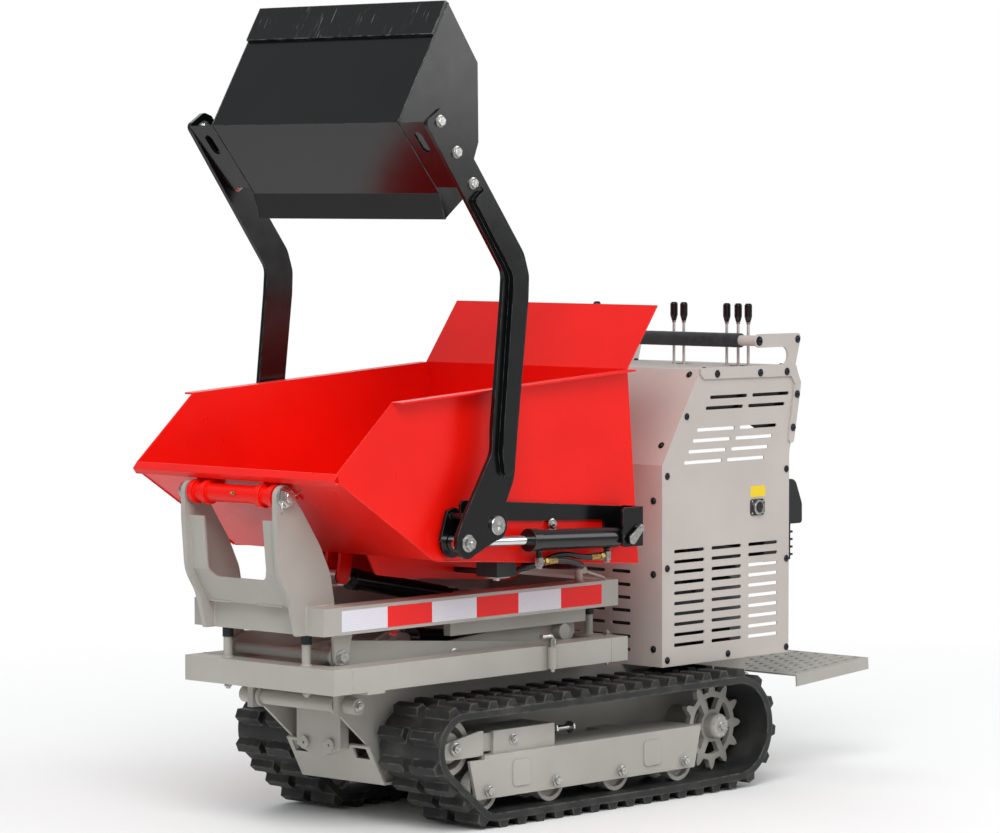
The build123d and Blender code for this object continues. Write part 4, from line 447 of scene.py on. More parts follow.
form = bmesh.new()
for side in (1, -1):
    for x in (LOWER_FRONT - LOWER_TUBE, LOWER_REAR + LOWER_TUBE):
        corner = at(x, side * LOWER_HALF, LOWER_TOP)
        bead(form, at(x, side * (LOWER_HALF - LOWER_TUBE), LOWER_TOP), corner, 1.6)
        bead(form, at(x, side * LOWER_HALF, LOWER_LOW), corner, 1.6)
    for x, y in POSTS:
        turned(form, at(x, side * y, LOWER_TOP), (0, 0, 1), [(13.5, 0), (13, 2), (10.5, 4)], 20)
for i in range(TACKS):
    turn = 2 * math.pi * i / TACKS
    rim = (LATCH_X + TACK_RING * math.cos(turn), LATCH_Y + TACK_RING * math.sin(turn))
    tube(form, [at(*rim, LOWER_TOP - 5), at(*rim, LOWER_TOP - 3)], 1.2)
fitted("lower_frame_welds", form, [grey_enamel], "deck")

form = bmesh.new()
spring = []
steps = SPRING_STEPS * SPRING_TURNS
for i in range(steps + 1):
    turn = 2 * math.pi * i / SPRING_STEPS
    spring.append(at(LATCH_X + SPRING_R * math.cos(turn), LATCH_Y + SPRING_R * math.sin(turn),
                     LOWER_TOP + 1 + SPRING_HIGH * i / steps))
tube(form, spring, 1.1, 6)
for side in (1, -1):
    for x, y in POSTS:
        hex_head(form, at(x, side * y, LOWER_LOW - 0.3), (0, 0, -1), HEX, 4)
    x, y = CORNER_BOLT
    hex_head(form, at(x, side * y, LOWER_TOP + PROUD), (0, 0, 1), SMALL_HEX, 3)
    hex_head(form, at(x, side * y, LOWER_LOW - PROUD), (0, 0, -1), SMALL_HEX, 6)
fitted("lower_frame_bolts", form, [zinc], "deck")
dress(["latch_pin"], zinc)


# The scissor lift's pivots: shouldered bolts through the ears of the upper frame, with a wide washer, and
# bolts through the arms where they cross. The cylinders' rods are hard chromed, ground and polished, so they
# mirror softly.
SCISSOR_X, SCISSOR_HIGH_Z = 404.8, 391.0
EAR_SIDE = 171.0
CROSS_X, CROSS_Z, ARM_OUTSIDE = 45.8, 368.0, 158.0
WIDE_WASHER = [(17, 0), (17, 1.8), (16, 2.5)]
PIVOT_HEAD = [(12.7, 0), (12.7, 7.5), (11.2, 9)]
CHROME = "#DADCDE"

chrome, tree = blank("hard_chrome")
finish_with(tree, {"Base Color": linear(CHROME), "Metallic": 1.0, "Roughness": 0.1,
                   "Normal": grain(tree, 1.0, 0.05, 0.02)})
dress(["lift_rod", "tip_rod", "loader_rods"], chrome)

form = bmesh.new()
for side in (1, -1):
    out = (0, side, 0)
    turned(form, at(SCISSOR_X, side * (EAR_SIDE + 0.3), SCISSOR_HIGH_Z), out, WIDE_WASHER)
    turned(form, at(SCISSOR_X, side * (EAR_SIDE + 2.6), SCISSOR_HIGH_Z), out, PIVOT_HEAD, 6)
fitted("scissor_bolts", form, [zinc], "outer_arms")

form = bmesh.new()
for side in (1, -1):
    hex_head(form, at(CROSS_X, side * (ARM_OUTSIDE + 0.3), CROSS_Z), (0, side, 0), WIDE_HEX, 3)
fitted("scissor_cross_bolts", form, [zinc], "inner_arms")


# The upper frame's reflective tape: a vinyl film with a honeycomb of glass-bead cells, in red and white
# lengths along both side rails. The cells give the white a pearly grey cast.
UPPER_SIDE = 201.7
UPPER_LOW, UPPER_TOP = 443.0, 502.5
UPPER_FRONT, UPPER_REAR, UPPER_TUBE = 486.9, -450.4, 59.5
TAPE_Z = (450.0, 495.0)
TAPE_ENDS = (434, 296, 158.6, 18, -117, -257, -394)
TAPE_WHITE, TAPE_PEARL = "#E3E3EB", "#D2D1DC"
TAPE_RED, TAPE_RED_DEEP = "#F40F0A", "#E20A08"
CELL_MM = 5.0
TAPE_THICK = 0.4


def tape_film(name, colour, shade):
    """Reflective vinyl: a smooth film over a honeycomb of small cells."""
    made, tree = blank(name)
    place = node(tree, "ShaderNodeTexCoord")
    cells = node(tree, "ShaderNodeTexVoronoi", {"Vector": place.outputs["Object"], "Scale": 1000 / CELL_MM,
                                                "Randomness": 0.3}, feature="DISTANCE_TO_EDGE")
    wall = node(tree, "ShaderNodeMapRange", {"Value": cells.outputs["Distance"], "From Min": 0.02,
                                             "From Max": 0.12})
    finish_with(tree, {"Base Color": between(tree, wall.outputs["Result"], linear(shade), linear(colour)),
                       "Roughness": 0.28, "IOR": 1.5})
    return made


def block(form, low, high, material=0):
    """A rectangular bar between two corners."""
    made = bmesh.ops.create_cube(form, size=1.0)
    for vert in made["verts"]:
        share = vert.co + Vector((0.5, 0.5, 0.5))
        vert.co = Vector([low[i] + (high[i] - low[i]) * share[i] for i in range(3)])
    for face in {face for vert in made["verts"] for face in vert.link_faces}:
        face.material_index = material


white_tape = tape_film("white_reflective_film", TAPE_WHITE, TAPE_PEARL)
red_tape = tape_film("red_reflective_film", TAPE_RED, TAPE_RED_DEEP)
form = bmesh.new()
for side in (1, -1):
    for i, (front, rear) in enumerate(zip(TAPE_ENDS, TAPE_ENDS[1:])):
        near, far = sorted((side * UPPER_SIDE, side * (UPPER_SIDE + TAPE_THICK)))
        block(form, at(rear, near, TAPE_Z[0]), at(front, far, TAPE_Z[1]), i % 2)
fitted("reflective_tape", form, [white_tape, red_tape], "upper")


# The upper frame's welds: beads down both sides of each horn, along the ears, the cut-out plate and the
# tubes' joints, and round the two stubs, all under the frame's grey enamel.
HORN_FACES, HORN_REAR = (136, 148), 404
EAR_ENDS, EAR_WELD_Z = (370.8, 428.8), 442
STUB = (-338, 182)
PLATE_X, PLATE_Z, PLATE_RUNS = 508, 503, ((-132, -60), (20, 100))

form = bmesh.new()
for side in (1, -1):
    for x in (UPPER_FRONT - UPPER_TUBE, UPPER_REAR + UPPER_TUBE):
        corner = at(x, side * UPPER_SIDE, UPPER_TOP)
        bead(form, at(x, side * (UPPER_SIDE - UPPER_TUBE), UPPER_TOP), corner, 1.8)
    for y in HORN_FACES:
        bead(form, at(UPPER_FRONT, side * y, UPPER_LOW + 2), at(UPPER_FRONT, side * y, UPPER_TOP), 3)
        bead(form, at(UPPER_FRONT, side * y, UPPER_TOP), at(HORN_REAR, side * y, UPPER_TOP), 3)
    turned(form, at(STUB[0], side * STUB[1], UPPER_TOP), (0, 0, 1), [(13, 0), (12.2, 2.2), (9.2, 4.5)], 20)
    ear_front, ear_rear = [at(x, side * (EAR_SIDE + 0.5), EAR_WELD_Z) for x in EAR_ENDS]
    bead(form, ear_front, ear_rear)
for start, end in PLATE_RUNS:
    bead(form, at(PLATE_X, start, PLATE_Z), at(PLATE_X, end, PLATE_Z), 2.4)
fitted("upper_frame_welds", form, [grey_enamel], "upper")


# The skip's hinge pin: a turned bar with a head on the right, and on the left a washer, a castle nut and a
# split pin bent from half-round wire.
HORN_X, HORN_Z = 549.5, 741.6
HORN_SIDE, PIN_END = 148.0, 160.0
WASHER, PIN_HEAD = [(23, 0), (23, 3), (22, 3.6)], [(21, 0), (21, 9), (18, 14.5)]
CASTLE_NUT = [(19, 0), (20.5, 1.5), (20.5, 9), (16.5, 10), (16.5, 14)]
SPLIT_PIN_R = 1.7
LONG_LEG = ((-17, 165, 5), (16, 165, -4), (26, 167, -14), (28, 169, -34))
SHORT_LEG = ((-15, 165, 3), (-24, 167, 9), (-33, 168, 12))

dress(["hinge_pin"], zinc)
form = bmesh.new()
turned(form, at(HORN_X, HORN_SIDE + 0.3, HORN_Z), (0, 1, 0), WASHER, 32)
turned(form, at(HORN_X, HORN_SIDE + 4, HORN_Z), (0, 1, 0), CASTLE_NUT, 6)
turned(form, at(HORN_X, PIN_END - 0.5, HORN_Z), (0, 1, 0), [(12, 0), (12, 6), (10, 8), (4, 9)])
turned(form, at(HORN_X, -HORN_SIDE - 0.3, HORN_Z), (0, -1, 0), PIN_HEAD, 32)
for leg in (LONG_LEG, SHORT_LEG):
    tube(form, [at(HORN_X + dx, y, HORN_Z + dz) for dx, y, dz in leg], SPLIT_PIN_R)
fitted("hinge_pin_ends", form, [zinc], "upper")


# The skip: folded and welded steel sheet, sprayed in a bright signal red that mirrors little in the
# photograph. Its hinge bar has a brass grease nipple, and a rubber pad under each side sits on a zinc washer.
RED, RED_DEEP, RED_EDGE_HIGHLIGHT = "#F71407", "#EC0F05", "#FF5B48"
STOP_X, STOP_Y, STOP_LOW = 30.0, 273.0, 547.0
BRASS, BRASS_DULL = "#BFA46C", "#957B46"
PAD_BLACK = "#1B1D1E"
NIPPLE = [(4.4, 0), (4.4, 4), (2.6, 5), (2.4, 8), (3.1, 9.5), (1.5, 11.5)]
NIPPLE_OUT, NIPPLE_Y, NIPPLE_UP = 19.5, 14, 3
PAD_WASHER, PAD_BOLT = [(30, 0), (30, 2.2), (29, 2.8)], [(8, 0), (8, 6), (6.8, 7.5)]

# The red is painted lighter along its edges, a painted highlight with a little wear.
red_enamel = enamel("red_enamel", (RED, RED_DEEP, RED_EDGE_HIGHLIGHT), 0.3, 0.12, wear_and_highlight=0.6, shine=0.35)
dress(["skip_shell", "skip_hinge", "skip_ribs"], red_enamel)

brass, tree = blank("turned_brass")
finish_with(tree, {"Base Color": between(tree, clouds(tree, 5, 0.35, 0.7), linear(BRASS), linear(BRASS_DULL)),
                   "Metallic": 1.0, "Roughness": 0.4, "Normal": rounded(tree, 0.5)})

pad_rubber, tree = blank("moulded_rubber")
finish_with(tree, {"Base Color": linear(PAD_BLACK), "Roughness": 0.62, "IOR": 1.52,
                   "Normal": grain(tree, 2.0, 0.2, 0.2, rounded(tree, 2.0))})
dress(["stop_buffers", "rubber_stops"], pad_rubber)

form = bmesh.new()
turned(form, at(HORN_X + NIPPLE_OUT, NIPPLE_Y, HORN_Z + NIPPLE_UP), (1, 0, 0.15), NIPPLE, 12, 1)
for side in (1, -1):
    turned(form, at(STOP_X, side * STOP_Y, STOP_LOW - PROUD), (0, 0, -1), PAD_WASHER, 32)
    turned(form, at(STOP_X, side * STOP_Y, STOP_LOW - 2.8), (0, 0, -1), PAD_BOLT, 6)
fitted("skip_fittings", form, [zinc, brass], "skip")


# The skip's welds: a thin bead where the sides meet the floor and the slope, one up each rear corner, and
# short ones at the lugs of the hinge bar, all under the red enamel.
SKIP_SIDE = 312.0
SLOPE_LOW, SLOPE_HIGH = (264, 597.5), (548, 777)
FLOOR_REAR, FLOOR_FRONT = (-394, 550), (261, 597.5)
CORNER_TOP, CORNER_LOW = (-358, 986), (-394, 556)
LUG_FACES, LUG_HIGH, LUG_LOW = (78, 92, 116, 130), (524, 760), (478, 731)


def side_bead(form, start, end, y, radius):
    """A bead between two places given as x and z, in a plane that faces sideways."""
    bead(form, at(start[0], y, start[1]), at(end[0], y, end[1]), radius)


form = bmesh.new()
for side in (1, -1):
    side_bead(form, SLOPE_LOW, SLOPE_HIGH, side * SKIP_SIDE, 1.8)
    side_bead(form, FLOOR_REAR, FLOOR_FRONT, side * SKIP_SIDE, 1.8)
    side_bead(form, CORNER_TOP, CORNER_LOW, side * (SKIP_SIDE - 5), 2.2)
    for y in LUG_FACES:
        side_bead(form, LUG_HIGH, LUG_LOW, side * y, 2.4)
fitted("skip_welds", form, [red_enamel], "skip")


# The loader: flame-cut bars and a bucket of welded plate, sprayed gloss black over the bare cut edges. The
# black mirrors what stands round it. Its edges are painted a lighter grey as a painted highlight, with a
# little wear, and the bucket's lip has grey scratches besides.
BLACK, BLACK_DEEP, BLACK_EDGE_HIGHLIGHT = "#08090A", "#0E0F10", "#6E7172"
SCRATCH_MM, SCRATCH_STRETCH, LIP_TILT = 4.0, 14.0, -0.54
SCRATCH_AND_EDGE_HIGHLIGHT = "#8D9091"

black_enamel = enamel("black_enamel", (BLACK, BLACK_DEEP, BLACK_EDGE_HIGHLIGHT), 0.2, 0.12, wear_and_highlight=0.8)
dress(["loader_side_plates", "cylinder_mounts", "loader_barrels", "lift_barrel", "tip_barrel", "loader_arms",
       "bucket", "bucket_brackets"], black_enamel)

scratched, tree = blank("scratched_black_enamel")
place = node(tree, "ShaderNodeTexCoord")
down_the_lip = node(tree, "ShaderNodeMapping", {"Vector": place.outputs["Object"],
                                                "Rotation": (0, LIP_TILT, 0),
                                                "Scale": (1, 1, SCRATCH_STRETCH)}, vector_type="TEXTURE")
lines = node(tree, "ShaderNodeTexNoise", {"Vector": down_the_lip.outputs[0], "Scale": 1000 / SCRATCH_MM,
                                          "Detail": 2.0})
thin = node(tree, "ShaderNodeMapRange", {"Value": lines.outputs["Fac"], "From Min": 0.64, "From Max": 0.69,
                                         "To Max": 0.6})
patch = node(tree, "ShaderNodeMath", {0: thin.outputs["Result"], 1: clouds(tree, 120, 0.48, 0.62)},
             operation="MULTIPLY")
# The lip's grey marks are scratches, together with a painted highlight along its edges.
wear_and_highlight = node(tree, "ShaderNodeMath", {0: patch.outputs[0], 1: edge_highlight_mask(tree, 3.0, 1.0)}, operation="MAXIMUM")
finish_with(tree, {"Base Color": between(tree, wear_and_highlight.outputs[0], linear(BLACK_DEEP), linear(SCRATCH_AND_EDGE_HIGHLIGHT)),
                   "Roughness": 0.3, "IOR": 1.48,
                   "Normal": grain(tree, PEEL_MM, 0.25, 0.15, rounded(tree, 2.0))})
dress(["cutting_edge"], scratched)


# The loader's bolts and pivots, all zinc plated: three bolts through each bracket of the bucket, a long bolt
# with a lock nut at the rod's eye, a pressed cap over the pivot, and a bolt and a plug on each side plate.
ARM_SIDE, ARM_INSIDE = 372.0, 362.0
ARM_BOLTS = ((306, 1534), (256, 1469), (206, 1403))
PIVOT_X, PIVOT_Z = 133.5, 669.2
ROD_X, ROD_Z = 222.9, 636.0
ROD_WASHER = [(19, 0), (19, 2.4), (18, 3.2)]
ROD_NUT = [(15.6, 0), (15.6, 7.5), (12.5, 9.6)]
ROD_BOLT = [(8, 0), (8, 4.5), (6.6, 6)]
CAP = [(21, 0), (21, 4.6), (19.6, 6.4), (6, 6.4), (5, 6)]
PLATE_SIDE, PLATE_BOLT = 318.0, (-100, 656)
PLUG_X, PLUG_Z, PLUG = 60, 690, [(9, 0), (9, 2), (7, 4)]

form = bmesh.new()
for side in (1, -1):
    out = (0, side, 0)
    for x, z in ARM_BOLTS:
        hex_head(form, at(x, side * (ARM_SIDE + PROUD), z), out, WIDE_HEX)
        hex_head(form, at(x - 4, side * (ARM_INSIDE - PROUD), z - 4), (0, -side, 0), WIDE_HEX, 4)
    turned(form, at(ROD_X, side * (ARM_SIDE + PROUD), ROD_Z), out, ROD_WASHER, 28)
    turned(form, at(ROD_X, side * (ARM_SIDE + 3), ROD_Z), out, ROD_NUT, 6)
    turned(form, at(ROD_X, side * (ARM_SIDE + 12), ROD_Z), out, ROD_BOLT, 16)
fitted("loader_arm_bolts", form, [zinc], "loader")

form = bmesh.new()
for side in (1, -1):
    out = (0, side, 0)
    turned(form, at(PIVOT_X, side * (ARM_SIDE + 0.4), PIVOT_Z), out, CAP, 32)
    hex_head(form, at(PLATE_BOLT[0], side * (PLATE_SIDE + PROUD), PLATE_BOLT[1]), out, HEX, 4)
    turned(form, at(PLUG_X, side * (PLATE_SIDE + PROUD), PLUG_Z), out, PLUG, 16)
fitted("loader_pivot_caps", form, [zinc], "skip")


# The loader's welds: beads along the stiffening bar of each arm and along the seams of the bucket's sides,
# under the black enamel.
ARM_RUNS = (((110, 770), (122, 828)), ((122, 832), (92, 1150)), ((92, 1212), (176, 1340)),
            ((86, 1262), (180, 1396)), ((60, 1234), (84, 1262)))
BUCKET_SIDE = 287.5
BUCKET_RUNS = (((347.2, 1531.7), (194, 1788)), ((347, 1531), (220.4, 1382)), ((220.2, 1381), (204.4, 1326)))

form = bmesh.new()
for side in (1, -1):
    for start, end in ARM_RUNS:
        side_bead(form, start, end, side * (ARM_SIDE + 0.4), 2.0)
fitted("loader_arm_welds", form, [black_enamel], "loader")

form = bmesh.new()
for side in (1, -1):
    for start, end in BUCKET_RUNS:
        side_bead(form, start, end, side * BUCKET_SIDE, 1.5)
fitted("bucket_welds", form, [black_enamel], "loader")


# Pin keepers at the rear of the loader's cylinders: a rounded zinc plate in a slot of the pin, held by one
# screw on the folded box.
MOUNT_SIDE = 374.0
KEEPER = ((-298.0, 614.0), (-325.0, 637.0))
KEEPER_REACH, KEEPER_OUT, KEEPER_THICK = (11.5, 8.2), 6.2, 3.6


def plate(form, outline, y, thick, side=1, material=0):
    """A flat plate that faces sideways: an outline of x and z, as thick as said from a y outwards."""
    rows = [[form.verts.new(at(x, side * (y + lift), z)) for x, z in outline] for lift in (0, thick)]
    faces = [form.faces.new(rows[0]), form.faces.new(rows[1][::-1])]
    for i in range(len(outline)):
        j = (i + 1) % len(outline)
        faces.append(form.faces.new((rows[0][i], rows[0][j], rows[1][j], rows[1][i])))
    for face in faces:
        face.material_index = material


form = bmesh.new()
for side in (1, -1):
    out = (0, side, 0)
    low, high = KEEPER
    turned(form, at(low[0], side * (MOUNT_SIDE + KEEPER_OUT), low[1]), out, [(12, 0), (12, 3), (11, 3.8)])
    boss = at(high[0], side * (MOUNT_SIDE + KEEPER_OUT), high[1])
    turned(form, boss, out, [(8.5, 0), (8.5, 3), (7.8, 3.8)])
    turned(form, at(high[0], side * (MOUNT_SIDE + PROUD), high[1]), out, [(7, 0), (7, 6)], 16)
    turned(form, at(high[0], side * (MOUNT_SIDE + 10), high[1]), out, [(6.5, 0), (6.5, 4), (5.4, 5)], 6)
    way = Vector((high[0] - low[0], high[1] - low[1])).normalized()
    normal = Vector((-way.y, way.x))
    corners = []
    for (x, z), reach in zip(KEEPER, KEEPER_REACH):
        corners += [(x + normal.x * reach * s, z + normal.y * reach * s) for s in (1, -1)]
    around = [corners[0], corners[2], corners[3], corners[1]]
    plate(form, around, MOUNT_SIDE + KEEPER_OUT, KEEPER_THICK, side)
fitted("pin_keepers", form, [zinc], "skip")


# The ports of the loader's cylinders: a black welded stem, a zinc banjo nut with its bolt from below, and on
# the left a crimped brass ferrule that holds the hose.
PORT_X = (-31.0, -252.0)
CYLINDER_Y, PORT_Z = 344.0, 578.0
BARREL_REAR, BARREL_SLOPE, BARREL_R = (-301.0, 616.0), 20.0 / 523.9, 23.0
CRIMPS = 5
form = bmesh.new()
for side in (1, -1):
    y = side * CYLINDER_Y
    for x, toward in zip(PORT_X, (-1, 1)):
        under = BARREL_REAR[1] + BARREL_SLOPE * (x - BARREL_REAR[0]) - BARREL_R
        stem = [(6.5, 8), (6.5, under - PORT_Z - 3), (9, under - PORT_Z)]
        turned(form, at(x, y, PORT_Z), (0, 0, 1), stem, 16, 1)
        turned(form, at(x, y, PORT_Z - 9), (0, 0, 1), [(9.4, 0), (10.5, 1.2), (10.5, 16.5), (9.4, 18)], 6)
        turned(form, at(x, y, PORT_Z - 9.5), (0, 0, -1), [(7.5, 0), (7.5, 4.5), (6.6, 5.5)], 6)
        if side == 1:
            start = at(x + toward * 9, y, PORT_Z)
            ferrule = [(5.5, 14), (5.5, 20), (8.4, 22), (8.4, 24)]
            for k in range(CRIMPS):
                ferrule += [(7.9, 25 + 4 * k), (7.2, 27 + 4 * k)]
            ferrule += [(7.7, 44.5), (7.0, 45)]
            turned(form, start, (toward, 0, 0), [(6, 0), (6, 5), (9, 5.5), (9, 14), (7.5, 15)], 6, 2)
            turned(form, start, (toward, 0, 0), ferrule, 20, 2)
ports = fitted("cylinder_ports", form, [zinc, black_enamel, brass], "loader_barrels")
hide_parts("hydraulic_fittings")


# The engine housing: laser-cut and folded steel sheet under a fine textured powder coat in warm grey. Black
# dome-headed screws hold it, and the texture scatters the light to an even satin.
HOUSING, HOUSING_DEEP, HOUSING_EDGE_HIGHLIGHT = "#C4BCB6", "#BAB2AC", "#DAD5D0"
SCREW_BLACK = "#3A3D42"
POWDER_MM = 2.2
SHEET_SIDE, BRACKET_SIDE = 244.5, 249.5
HOUSING_FRONT, HOUSING_BEND_Z, HOUSING_TOP = -553.8, 758.0, 973.0
SLANT = (HOUSING_TOP - HOUSING_BEND_Z, 686.8 + HOUSING_FRONT)
SIDE_SCREWS = ((-571.7, 732.7), (-571.7, 520.7), (-571.8, 309.3), (-787.4, 307.7), (-1000.6, 306.5),
               (-1000.5, 516.7), (-1000.5, 728.8), (-640, 867))
BRACKET_SCREWS = ((-1035.7, 1034.7), (-742.6, 962.1), (-898.6, 959.5), (-996.3, 959.2), (-1034.6, 904.5),
                  (-1019.5, 826.3))
FRONT_SCREWS = (334.6, 506.8, 676.0)
SLANT_SCREWS = (802.5, 961.6)
FRONT_Y, SLANT_Y = 218.3, 218.0
TOP_SCREWS, TOP_Y = (-720, -860, -1000), 228
BAR_SCREW = (-893.9, 1033.6)
STRIP_THICK = 4.4
STRIP = ((-1029, 938), (-1049, 932), (-1048, 920), (-1024, 796), (-1018, 790), (-1010, 791), (-1005, 798))

powder, tree = blank("textured_powder_coat")
film = between(tree, clouds(tree, 260, 0.3, 0.7), linear(HOUSING), linear(HOUSING_DEEP))
# The powder coat is painted lighter along its edges as a painted highlight.
finish_with(tree, {"Base Color": between(tree, edge_highlight_mask(tree, 1.2, 0.5), film, linear(HOUSING_EDGE_HIGHLIGHT)),
                   "Roughness": 0.5, "IOR": 1.5,
                   "Normal": grain(tree, POWDER_MM, 0.35, 0.1, rounded(tree, 1.2))})
dress(["housing_sides", "housing_front", "housing_top", "housing_floor", "handle_brackets", "handlebar"],
      powder)

black_zinc, tree = blank("black_zinc_plate")
finish_with(tree, {"Base Color": linear(SCREW_BLACK), "Metallic": 1.0, "Roughness": 0.32,
                   "Normal": rounded(tree, 0.6)})


def dome_screw(form, place, axis, radius=6.5):
    """A dome-headed screw on a thin washer, with a socket in its top."""
    turned(form, place, axis, [(radius * 1.25, 0), (radius * 1.25, 1)], 20)
    turned(form, place, axis, [(radius, 1), (radius * 0.94, 2.6), (radius * 0.72, 4), (radius * 0.42, 4.7),
                               (radius * 0.4, 3)], 20)


form = bmesh.new()
for side in (1, -1):
    out = (0, side, 0)
    for x, z in SIDE_SCREWS:
        dome_screw(form, at(x, side * (SHEET_SIDE + PROUD), z), out)
    for x, z in BRACKET_SCREWS:
        dome_screw(form, at(x, side * (BRACKET_SIDE + PROUD), z), out, 7.2)
    dome_screw(form, at(BAR_SCREW[0], side * (BRACKET_SIDE + PROUD), BAR_SCREW[1]), out, 9)
    for z in FRONT_SCREWS:
        dome_screw(form, at(HOUSING_FRONT + PROUD, side * FRONT_Y, z), (1, 0, 0))
    for z in SLANT_SCREWS:
        slanted_x = HOUSING_FRONT - (z - HOUSING_BEND_Z) * SLANT[1] / SLANT[0]
        dome_screw(form, at(slanted_x + PROUD, side * SLANT_Y, z), (SLANT[0], 0, SLANT[1]))
    for x in TOP_SCREWS:
        dome_screw(form, at(x, side * TOP_Y, HOUSING_TOP + PROUD), (0, 0, 1), 5.5)
fitted("housing_screws", form, [black_zinc], "chassis")

form = bmesh.new()
for side in (1, -1):
    plate(form, STRIP, SHEET_SIDE + 0.1, STRIP_THICK, side)
fitted("handle_bracket_strips", form, [powder], "chassis")


# Under the top sheet hangs the hydraulic control valve: cast sections painted black, one to each lever of
# the row, between two plates whose black is painted shade for the dark inside of the housing behind the
# upper slots. The photograph shows only dark shapes in the upper slots, so its form is what such machines
# have.
PLATE_INSIDE = 226.0
VALVE_PLATE = ((-700, 964), (-1040, 964), (-1040, 826), (-905, 828), (-862, 850), (-838, 872), (-712, 874))
VALVE_X, VALVE_Z, SPOOL_Z, SECTION_HALF = (-962.0, -888.0), (884.0, 944.0), 914, 14.0
LEVERS = ((-925, -41), (-925, -10), (-925, 124), (-925, 159), (-925, 190), (-843, -215))

form = bmesh.new()
for side in (1, -1):
    # The two plates are black as painted shade, standing for the shadow behind the upper slots.
    plate(form, VALVE_PLATE, PLATE_INSIDE, 2.0, side)
for x, y in LEVERS[:-1]:
    low, high = at(VALVE_X[0], y - SECTION_HALF, VALVE_Z[0]), at(VALVE_X[1], y + SECTION_HALF, VALVE_Z[1])
    block(form, low, high)
    turned(form, at(x, y, VALVE_Z[1]), (0, 0, 1), [(9, 0), (9, 8), (4, 12), (4, 24)], 16)
    turned(form, at(VALVE_X[1], y, SPOOL_Z), (1, 0, 0), [(10, 0), (10, 22), (7, 24)], 16)
    turned(form, at(VALVE_X[0], y, SPOOL_Z), (-1, 0, 0), [(8, 0), (8, 12), (5, 14)], 16)
fitted("control_valve", form, [black_enamel], "chassis")


# The electrics on the left side sheet: a blank yellow vinyl label with rounded corners, and under it a black
# moulded socket with a pressed ring round its opening.
LABEL = ((-921.8, 668.5), (-868.7, 694.5))
SOCKET = (-892.5, 644.4)
SOCKET_SIZE, SOCKET_SCREWS = (25, 19), (20, 14)
LABEL_YELLOW = "#F2D21F"
PLASTIC, PLASTIC_WORN = "#161718", "#1F2122"


def rounded_plate(form, low, high, radius, y, thick, material=0):
    """A thin plate with round corners on the left side sheet, between two corners given as x and z."""
    rim = []
    for cx, cz, first in ((high[0] - radius, high[1] - radius, 0), (low[0] + radius, high[1] - radius, 90),
                          (low[0] + radius, low[1] + radius, 180), (high[0] - radius, low[1] + radius, 270)):
        for step in range(5):
            turn = math.radians(first + 22.5 * step)
            rim.append((cx + radius * math.cos(turn), cz + radius * math.sin(turn)))
    plate(form, rim, y, thick, 1, material)


yellow_vinyl, tree = blank("yellow_vinyl")
finish_with(tree, {"Base Color": linear(LABEL_YELLOW), "Roughness": 0.35, "IOR": 1.5,
                   "Normal": grain(tree, 8.0, 0.1, 0.05)})
moulded_black, tree = blank("moulded_black_plastic")
moulding = between(tree, clouds(tree, 40, 0.3, 0.7), linear(PLASTIC), linear(PLASTIC_WORN))
finish_with(tree, {"Base Color": moulding, "Roughness": 0.42, "IOR": 1.5,
                   "Normal": grain(tree, 1.5, 0.25, 0.08, rounded(tree, 1.5))})

form = bmesh.new()
rounded_plate(form, LABEL[0], LABEL[1], 4, SHEET_SIDE + 0.1, 0.3, 1)
x, z = SOCKET
half_wide, half_high = SOCKET_SIZE
rounded_plate(form, (x - half_wide, z - half_high), (x + half_wide, z + half_high), 7, SHEET_SIDE + 0.1, 2.5)
ring = [(17.5, 0), (17.5, 5), (16, 6.5), (13, 6.5), (12.2, 1)]
turned(form, at(x, SHEET_SIDE + 2.4, z), (0, 1, 0), ring, 32, 2)
turned(form, at(x, SHEET_SIDE + 2.5, z), (0, 1, 0), [(12, 0), (12, 1.8), (4, 2.2), (3.5, 4)], 24)
dx, dz = SOCKET_SCREWS
for corner in ((x + dx, z + dz), (x - dx, z + dz), (x + dx, z - dz), (x - dx, z - dz)):
    screw = at(corner[0], SHEET_SIDE + 2.6, corner[1])
    turned(form, screw, (0, 1, 0), [(2.6, 0), (2.4, 1), (1.2, 1.5)], 12, 2)
fitted("socket_and_label", form, [moulded_black, yellow_vinyl, zinc], "chassis")


# The engine: a die-cast crankcase with a finned cylinder, a pressed steel starter case with its pull handle,
# a moulded air filter cover held by a wing nut, and a painted fuel tank.
CAST, CAST_DEEP = "#6E6F70", "#4A4B4C"
TANK, TANK_DEEP, TANK_EDGE_HIGHLIGHT = "#B92114", "#A81A10", "#D86A5C"
ENGINE_REAR = -990.0
STARTER_Y, STARTER_Z, STARTER_DEEP = -50.0, 440.0, 58.0
SLOT_RINGS, SLOT_HALF, SLOT_BACK = ((62, 22), (48, 18)), 5, 46.4
PULL = (-30, 40, 78)
PULL_BAR = ((-8, -24, 16), (-8, -8, 21), (-8, 12, 21), (-8, 28, 17))
STARTER_SCREWS, SCREW_RING = (35, 155, 275), 80
FILTER_REAR, FILTER_Y, WING_Z = -1114.0, 120.0, 640
WING_ARMS, WING_REACH = (0, 120, 240), 20
CAST_GRAIN_MM = 1.2

cast_alloy, tree = blank("die_cast_alloy")
finish_with(tree, {"Base Color": between(tree, clouds(tree, 50, 0.3, 0.7), linear(CAST), linear(CAST_DEEP)),
                   "Metallic": 0.8, "Roughness": 0.55,
                   "Normal": grain(tree, CAST_GRAIN_MM, 0.4, 0.2, rounded(tree, 1.5))})
dress(["engine"], cast_alloy)
# The tank's enamel is painted lighter along its edges, a painted highlight with a little wear.
tank_enamel = enamel("tank_enamel", (TANK, TANK_DEEP, TANK_EDGE_HIGHLIGHT), 0.3, 0.15, coat=0.3)
dress(["fuel_tank"], tank_enamel)
dress(["starter_case", "air_filter"], moulded_black)

